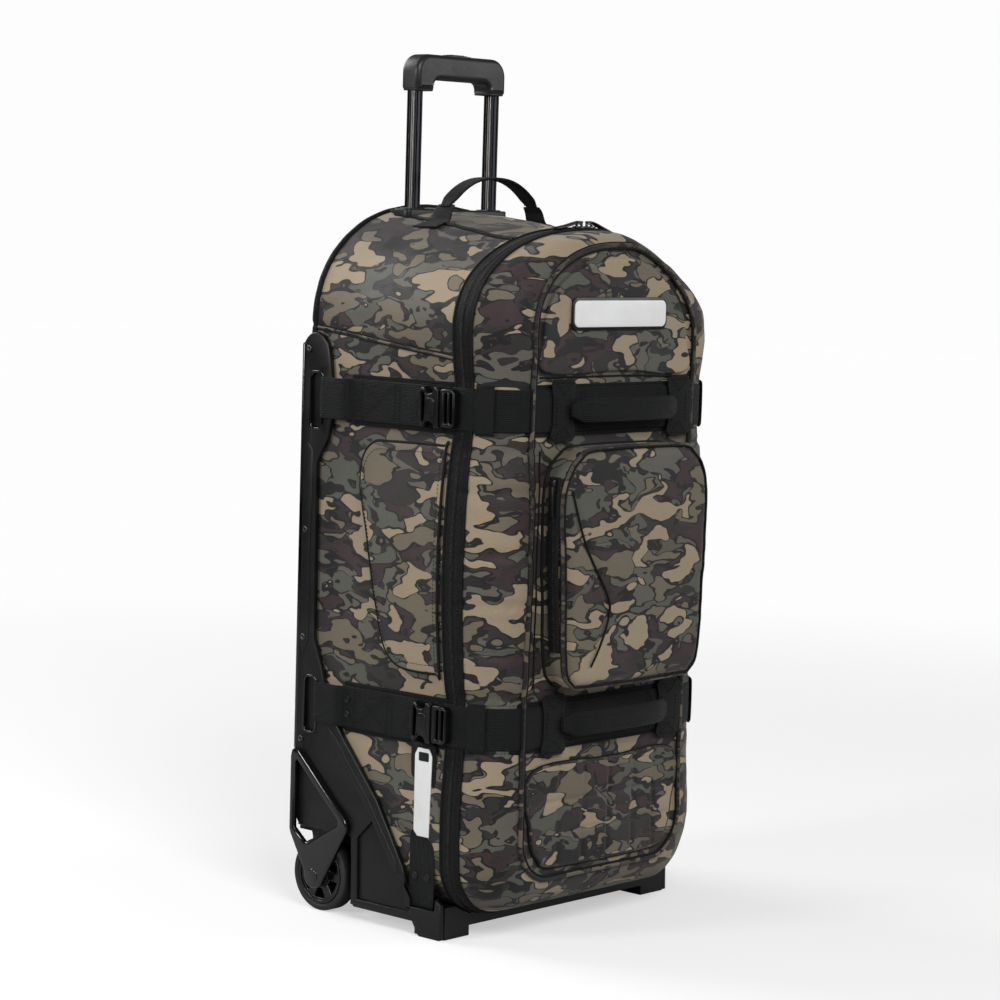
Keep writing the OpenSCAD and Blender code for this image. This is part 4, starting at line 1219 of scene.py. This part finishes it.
def both_sides(name, left, body_left, body_right, slot, node_left=(), node_right=(), drape=None):
    right = mirrored(name + "_right", left)
    for vertex in right.data.vertices if drape else ():
        vertex.co = drape(vertex.co)
    right.data.set_sharp_from_angle(angle=SHARP)
    piece(left, body_left, slot, node_left)
    piece(right, body_right, slot, node_right)


def build_deck():
    rim = [(-69, 1), (-66, 0), (-35, 0), (-32, 2), (-23, 16), (74, 16), (77, 20), (81, 100), (166, 100), (172, 104),
           (178, 114), (180, 130), (180, 676)]
    rim += arc(158, 675, 22, (15, 30, 45, 60, 75, 90))
    rim += [(147, 693), (139, 684), (134, 662), (131, 640), (129, 615), (130, 597), (136, 572), (148, 553),
            (154, 541), (152, 330), (138, 296), (131, 270),
            (123, 246), (96, 214), (40, 150), (-6, 76), (-11, 62), (-12, 33), (-57, 33), (-58.5, 35), (-59.5, 48),
            (-68, 42)]
    slots = [round_rect(146, 164, z - 37, z + 29, 6) for z in STRAP_SLOTS]
    window = [(68, 26), (-14, 26), (-18, 30), (-18, 42), (40, 121), (46, 124), (70, 100)]
    outer = cut_plate("side_plate_rail", [rim, *slots, window], -208, -200.6, 1.5, "yz", DECK)
    web = cut_plate("side_plate_web", [[(72, 20), (-20, 20), (-20, 45), (44, 132), (75, 100)]], -204.6, -200.8, 0.5,
                    "yz", DECK)
    backs = [cut_plate("slot_back", [round_rect(142, 168, z - 41, z + 33, 4)], -204.5, -201, 0.4, "yz", DECK)
             for z in STRAP_SLOTS]
    rings = [cut_plate("slot_ring", [round_rect(143.5, 166.5, z - 39.5, z + 31.5, 8),
                                     round_rect(146.4, 163.6, z - 36.6, z + 28.6, 5.8)],
                       -209.3, -206, 1.1, "yz", GLOSS, segments=3) for z in STRAP_SLOTS]
    guard = boxes("side_plate_guard", [((-209, 175.5, 192), (-200, 181.2, 684), 2.6)], GLOSS)
    ridge = cut_plate("side_plate_ridge", [[(168, 312), (173, 318), (173, 560), (168, 566), (160, 556), (160, 326)]],
                      -208.9, -206, 0.8, "yz", DECK)
    brace = cut_plate("side_plate_brace", [[(122, 224), (128, 232), (108, 214), (50, 146), (6, 84), (0, 68), (8, 72),
                                            (58, 142), (112, 205)]],
                      -209.0, -206, 0.8, "yz", DECK)
    both_sides("side_plate", merged("side_plate_left_moulding", [outer, web, ridge, brace, guard, *backs, *rings]),
               "bag", "bag", "deck_plastic",
               ["side_plate_left"], ["side_plate_right"])
    screws = [cut_plate("screw", [disc(169, z, 4.0, 24), disc(169, z, 1.5, 6)], -209.9, -208, 0.6, "yz", STEEL)
              for z in (206, 330, 460, 677)]
    both_sides("plate_screw_heads", merged("plate_screw_heads_left", screws), "bag", "bag", "steel", ["plate_screws"])
    heads = [cut_plate("rivet", [disc(y, z, 4.6, 28)], -205.5, -203.6, 0.9, "yz", BUCKLE)
             for y, z in [(y, s + d) for y, s in ((96, 254), (114, 620)) for d in (-9, 9)] + [(-43, 70), (-23, 70)]]
    both_sides("rivet_heads", merged("rivet_heads_left", heads), "bag", "bag", "buckle_plastic", ["strap_rivets"])

    arm = [(179, 96), (179, 184), (177, 192), (171, 196), (164, 193), (85, 120), (81, 113), (82, 105), (121.5, 38)]
    arm += arc(*WHEEL_AT, 16, range(205, 346, 20))
    arm += [(152, 48), (177, 90)]
    opening = [(171, 178), (168, 181), (96, 117), (97, 112), (146, 83), (152, 83), (171, 98)]
    bracket = cut_plate("bracket", [arm, opening], -216, -208.4, 3.0, "yz", GLOSS, segments=4)
    cap = cut_plate("bracket_cap", [disc(*WHEEL_AT, 8.5)], -217.4, -214, 1.4, "yz", GLOSS, segments=3)
    both_sides("wheel_bracket", merged("wheel_bracket_left_moulding", [bracket, cap]), "bag", "bag", "gloss_plastic",
               ["wheel_bracket_left"], ["wheel_bracket_right"])


def build_wheels():
    gaps = []
    for i in range(6):
        a0, a1 = math.radians(i * 60 + 12), math.radians(i * 60 + 48)
        ring = [(29 * math.cos(mix(a0, a1, k / 6)), 29 * math.sin(mix(a0, a1, k / 6))) for k in range(7)]
        ring += [(17 * math.cos(mix(a1 - 0.1, a0 + 0.1, k / 3)), 17 * math.sin(mix(a1 - 0.1, a0 + 0.1, k / 3)))
                 for k in range(4)]
        gaps.append([(WHEEL_AT[0] + y, WHEEL_AT[1] + z) for y, z in ring])
    rim = cut_plate("rim", [disc(*WHEEL_AT, 35, 72), disc(*WHEEL_AT, 11.2), *gaps], -203, -183, 1.3, "yz", WHEEL)
    lip = cut_plate("rim_lip", [disc(*WHEEL_AT, 35.2, 72), disc(*WHEEL_AT, 31.5, 72)], -204.4, -181.8, 0.9, "yz", WHEEL)
    hub = cut_plate("hub", [disc(*WHEEL_AT, 14, 40), disc(*WHEEL_AT, 11.1, 40)], -204, -182.4, 0.8, "yz", WHEEL)
    both_sides("wheel", merged("wheel_left_moulding", [rim, lip, hub]), "wheel_left_unit", "wheel_right_unit",
               "wheel_plastic",
               ["wheel_left"], ["wheel_right"])
    tread = cut_plate("tyre", [disc(*WHEEL_AT, 44, 96), disc(*WHEEL_AT, 35.1, 72)], -205, -181, 4.0, "yz", TYRE,
                      segments=5)
    both_sides("tyre", merged("tyre_left_rubber", [tread]), "wheel_left_unit", "wheel_right_unit", "tyre",
               ["tyre_left"], ["tyre_right"])


def build_handle():
    grip = [(-79, -41), (-76.5, -44), (-51, -44), (-48.5, -42)]
    grip += arc(-39.5, -39, 9, (0, 20, 45, 70, 90), -1)
    grip += [(-x, z) for x, z in reversed(grip)]
    grip += arc(57, -22, 22, range(0, 91, 10))
    grip += arc(-57, -22, 22, range(90, 181, 10))
    top = GRIP_TOP / MM
    body = cut_plate("grip", [[(x, top + z) for x, z in grip]], -155, -125, 6.5, "xz", GRIP, segments=5)
    x = 59.6
    collar = cut_plate("collar", [round_rect(x - 11.4, x + 18.5, 127.5, 152.5, 4),
                                  round_rect(x + 1.7, x + 16.3, 132.7, 147.3, 1.5)],
                       top - 44.4, top - 40, 1.0, "xy", GRIP)
    piece(merged("grip_moulding", [body, collar, mirrored("collar", collar)]), "pull_handle", "grip_plastic",
          ["handle_grip"])
    button = boxes("button_cap", [((-17.8, 133.2, top - 5), (17.8, 146.8, top + 1.5), 2.2)]
                   + [((x - 0.8, 135, top), (x + 0.8, 145, top + 2.1), 0.5) for x in (-10, -5, 0, 5, 10)], BUCKLE)
    piece(button, "release", "buckle_plastic", ["release_button"])
    foot, turns = top - 22.4, 4
    coil = [mm(2.6 * math.cos(a), 140 + 2.6 * math.sin(a), foot + 0.6 + 6.4 * a / (2 * math.pi * turns))
            for a in (i * math.pi / 8 for i in range(16 * turns + 1))]
    spring = tube("button_return_spring", coil, 0.6 * MM, STEEL, sides=8)
    piece(spring, "pull_handle", "steel", ["button_spring"])
    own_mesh(spring)
    ring = cut_plate("button_ring", [round_rect(-21, 21, 130, 150, 5), round_rect(-18.2, 18.2, 132.8, 147.2, 3)],
                     top - 1.5, top + 0.6, 0.6, "xy", GLOSS)
    piece(ring, "pull_handle", "gloss_plastic")
    face = [(-5.6, -7), (-4.2, -7), (-3.7, -5.9), (-2.3, -5.9), (-1.8, -7), (1.8, -7), (2.3, -5.9), (3.7, -5.9),
            (4.2, -7), (5.6, -7), (6.6, -6.6)]
    for name, x in zip(("left", "right"), TUBES):
        section = []
        for turn in range(4):
            c, s = round(math.cos(turn * math.pi / 2)), round(math.sin(turn * math.pi / 2))
            section += [(x + a * c - b * s, 140 + a * s + b * c) for a, b in face]
        rail = cut_plate(f"inner_tube_{name}_section", [section], 641, top - 24, 0.0, "xy", ALLOY)
        rail.data.set_sharp_from_angle(angle=math.radians(25))
        piece(rail, "pull_handle", "tube_alloy", [f"inner_tube_{name}"])
    plate = cut_plate("bezel", [round_rect(-90, 90, 126, 154, 7)]
                      + [round_rect(x - 7.5, x + 7.5, 132.5, 147.5, 1.5) for x in TUBES],
                      833.5, 846.4, 2.0, "xy", DECK)
    rims = [cut_plate("bezel_rim", [round_rect(x - 12, x + 12, 128, 152, 4),
                                    round_rect(x - 7.6, x + 7.6, 132.4, 147.6, 1.5)], 845, 847.6, 1.2, "xy", DECK)
            for x in TUBES]
    piece(merged("bezel_moulding", [plate, *rims]), "bag", "deck_plastic", ["handle_bezel"])


def build_buckles():
    inner, outer = -204.1, -215
    for name, z in zip(("lower", "upper"), STRAP_SLOTS):
        rim = [(-50, z - 21.5), (-47, z - 23.5), (-42.5, z - 23.5)]
        rim += arc(-34, z - 23.5, 8, (20, 50, 90, 130, 160), -1)
        rim += [(-25.5, z - 23.5), (-22, z - 22.5), (-18.5, z - 18), (-17, z - 9)]
        rim += [(y, 2 * z - h) for y, h in reversed(rim)]
        slot = round_rect(-26.5, -22.5, z - 18, z + 18, 1.5)
        body = cut_plate("socket", [rim, slot], outer, inner, 2.4, "yz", BUCKLE, segments=4)
        lip = cut_plate("socket_lip", [round_rect(-50.5, -46.5, z - 21, z + 21, 1.6)], outer - 0.8, outer + 3, 0.9,
                        "yz", BUCKLE)
        crown = cut_plate("socket_crown", [round_rect(-44, -29, z - 11, z + 11, 5)], outer - 0.7, outer + 3, 0.9,
                          "yz", BUCKLE, segments=3)
        piece(merged(f"buckle_socket_{name}", [body, lip, crown]), "bag", "buckle_plastic", ["buckle_sockets"]
              if name == "lower" else ())
        rim = [(-74, z - 18.5), (-70, z - 22), (-54, z - 22), (-50.8, z - 19), (-50.8, z + 19), (-54, z + 22),
               (-70, z + 22), (-74, z + 18.5)]
        holes = [round_rect(y - 2, y + 2, z - 17.5, z + 17.5, 1.5) for y in (-68.5, -60.5)]
        body = cut_plate("plug", [rim, *holes], outer + 0.8, inner, 1.8, "yz", BUCKLE, segments=3)
        bars = boxes("plug_bars", [((-214.6, y - 1.1, z - 18.5), (-212.4, y + 1.1, z + 18.5), 0.6)
                                   for y in (-72.4, -64.5, -56.5)]
                     + [((-212, -51, z + d - 3), (-206.7, -26, z + d + 3), 1.0) for d in (-12, 12)]
                     + [((-212, -51, z - 2.5), (-206.7, -25, z + 2.5), 1.0)], BUCKLE)
        piece(merged(f"buckle_plug_{name}_moulding", [body, bars]), f"plug_{name}", "buckle_plastic",
              [f"buckle_plug_{name}"])


def build_small_fittings():
    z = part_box("zip_slider_left")[0].z / MM
    y = ZIP_Y / MM
    outline = [(-17.5, y - 3.5), (-14, y - 6), (-5, y - 6), (-0.8, y - 4), (-0.5, y), (-0.8, y + 4), (-5, y + 6),
               (-14, y + 6), (-17.5, y + 3.5)]
    slider = cut_plate("slider", [outline], z, z + 3, 1.0, "xy", STEEL, segments=3)
    bridge = boxes("bridge", [((-14.6, y - 1.6, z + 2.4), (-12, y + 1.6, z + 6), 0.7),
                              ((-6, y - 1.6, z + 2.4), (-3.4, y + 1.6, z + 6), 0.7),
                              ((-14.6, y - 1.6, z + 4.6), (-3.4, y + 1.6, z + 6.4), 0.8)], STEEL)
    line = [mm(x, y, z + h) for x, h in ((-4, 7.6), (-12, 7.8), (-20, 5.8), (-30, 3.4), (-42, 1.2), (-57, -1.0))]
    line = smooth_line(line, 8)
    wide = lambda v: mix(0.45, 1.0, smooth(0.18, 0.45, v)) * (1 - 0.35 * smooth(0.9, 1.0, v))
    pull = ribbon("pull", line, 9.5 * MM, 2.6 * MM, (0, 1, 0), BUCKLE, taper=wide)
    ribs = small_parts("pull_ribs", [(p + Vector((0, 0, 1.3 * MM)), Vector((1, 0, -0.1))) for p in line[22:40:3]],
                       (1.4 * MM, 7.5 * MM, 1.4 * MM), BUCKLE)
    both_sides("zip_slider", merged("zip_slider_left_metal", [slider, bridge]), "slider_left", "slider_right",
               "zip_metal",
               ["zip_slider_left"], ["zip_slider_right"])
    both_sides("zip_pull", merged("zip_pull_left_rubber", [pull, ribs]), "pull_left", "pull_right", "zip_pull",
               ["zip_pull_left"], ["zip_pull_right"],
               drape=lambda p: lean(p, 0.6))

    z = 731
    back = cut_plate("badge_back", [round_rect(-96, 76, z - 19, z + 19, 10)], 144.6, 146.2, 0.6, "xz", BUCKLE)
    face = cut_plate("badge_face", [round_rect(-92.5, 72.5, z - 15.5, z + 15.5, 7.5)], 145.6, 147.8, 0.9, "xz",
                     RUBBER, segments=3)
    piece(merged("badge_plate", [back, face]), "lid", "white_rubber", ["badge"])
    edge = [(-44, 118), (-46.5, 214), (-42, 222), (-24, 222), (-19.5, 214), (-20, 124), (-26, 118)]
    tag = cut_plate("tag", [edge], -205.6, -204.1, 0.5, "yz", RUBBER)
    window = cut_plate("tag_window", [round_rect(-42, -26, 207, 217.5, 1.5)], -206.0, -205.2, 0.2, "yz", BUCKLE)
    piece(merged("id_tag_plate", [tag, window]), "bag", "white_rubber", ["id_tag"])


build_deck()
build_wheels()
build_handle()
build_buckles()
build_small_fittings()

# ---------- camera, floor and light ----------


def studio():
    camera = bpy.data.cameras.new("camera")
    camera.lens = 107.43
    camera.sensor_width = 36
    camera.clip_end = 50
    holder = linked("camera", camera)
    forward = Vector((0.738916, 0.667075, -0.094946)).normalized()
    right = forward.cross(Vector((0, 0, 1))).normalized()
    up = right.cross(forward)
    roll = math.radians(1.67)
    x_axis = right * math.cos(roll) + up * math.sin(roll)
    y_axis = up * math.cos(roll) - right * math.sin(roll)
    turn = Matrix((x_axis, y_axis, -forward)).transposed().to_4x4()
    holder.matrix_world = Matrix.Translation((-2.69444, -2.38825, 0.8414)) @ turn
    bpy.context.scene.camera = holder

    bm = bmesh.new()
    bmesh.ops.create_grid(bm, x_segments=1, y_segments=1, size=14)
    material, nodes, shader, where = new_material("studio_floor", Roughness=0.8, Specular_IOR_Level=0.05)
    shader.inputs["Emission Color"].default_value = (1, 1, 1, 1)
    away = nodes.band(nodes.add("ShaderNodeVectorMath", {0: where}, operation="LENGTH").outputs["Value"], 0.7, 3.2)
    seen = nodes.add("ShaderNodeLightPath").outputs["Is Camera Ray"]
    glow = nodes.math("MULTIPLY", seen, nodes.math("ADD", nodes.math("MULTIPLY", away, 0.48), 0.50))
    nodes.tree.links.new(glow, shader.inputs["Emission Strength"])
    join(nodes, shader, nodes.blend(away, rgb("c0c0c0"), rgb("0c0c0c")))
    make_object("studio_floor", bm, material, smooth_faces=False)

    world = bpy.data.worlds.new("studio")
    bpy.context.scene.world = world
    world.use_nodes = True
    sky = Nodes(world.node_tree)
    seen = sky.add("ShaderNodeLightPath").outputs["Is Camera Ray"]
    strength = sky.math("ADD", sky.math("MULTIPLY", seen, 0.84), 0.14)
    world.node_tree.links.new(strength, world.node_tree.nodes["Background"].inputs[1])
    world.node_tree.nodes["Background"].inputs[0].default_value = (1, 1, 1, 1)
    for name, place, size, power in (("key", (-1.6, -2.7, 2.6), 1.5, 82), ("fill", (2.4, -2.4, 1.5), 1.8, 30),
                                     ("back", (-0.6, 2.6, 2.4), 1.4, 55), ("side", (-3.0, 0.9, 1.5), 0.9, 40)):
        light = bpy.data.lights.new(name, "AREA")
        light.energy = power
        light.size = size
        lamp = linked(name, light)
        direction = Vector((0, 0, 0.5)) - Vector(place)
        lamp.matrix_world = Matrix.Translation(place) @ direction.to_track_quat("-Z", "Y").to_matrix().to_4x4()
    bpy.context.scene.view_settings.view_transform = "Standard"


studio()

FINISHES = [
    (DECK, ["base_tray", "side_plate_left", "side_plate_right", "back_deck", "wheel_wells", "handle_bezel",
            "tube_mounts",
            "tube_end_plugs"]),
    (GLOSS, ["wheel_bracket_left", "wheel_bracket_right"]),
    (BUCKLE, ["buckle_sockets", "buckle_plug_upper", "buckle_plug_lower", "release_button"]),
    (GRIP, ["handle_grip"]),
    (ALLOY, ["outer_tubes", "inner_tube_left", "inner_tube_right"]),
    (STEEL, ["axles", "plate_screws", "strap_rivets", "grip_screws", "lock_pin_left", "lock_pin_right", "release_rods",
             "bearings_left", "bearings_right", "zip_slider_left", "zip_slider_right"]),
    (WHEEL, ["wheel_left", "wheel_right"]), (TYRE, ["tyre_left", "tyre_right"]), (RUBBER, ["badge", "id_tag"]),
    (LINING, ["foam_divider", "base_board", "tube_tunnel"]),
    (WEB_Z, ["side_bands", "side_straps", "corner_straps", "front_bands", "front_straps", "haul_tabs",
             "haul_grip_upper",
             "haul_grip_lower", "grab_handle", "grab_handle_tabs"]),
    (TAPE, ["body_zip_tape", "lid_zip_tape", "pocket_zip", "zip_pull_left", "zip_pull_right"]),
    (CLOTH, ["side_pockets", "upper_pocket", "middle_pocket", "lower_pocket"]),
]
for finish, names in FINISHES:
    for name in names:
        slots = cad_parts[name].data.materials
        slots.clear()
        slots.append(finish)
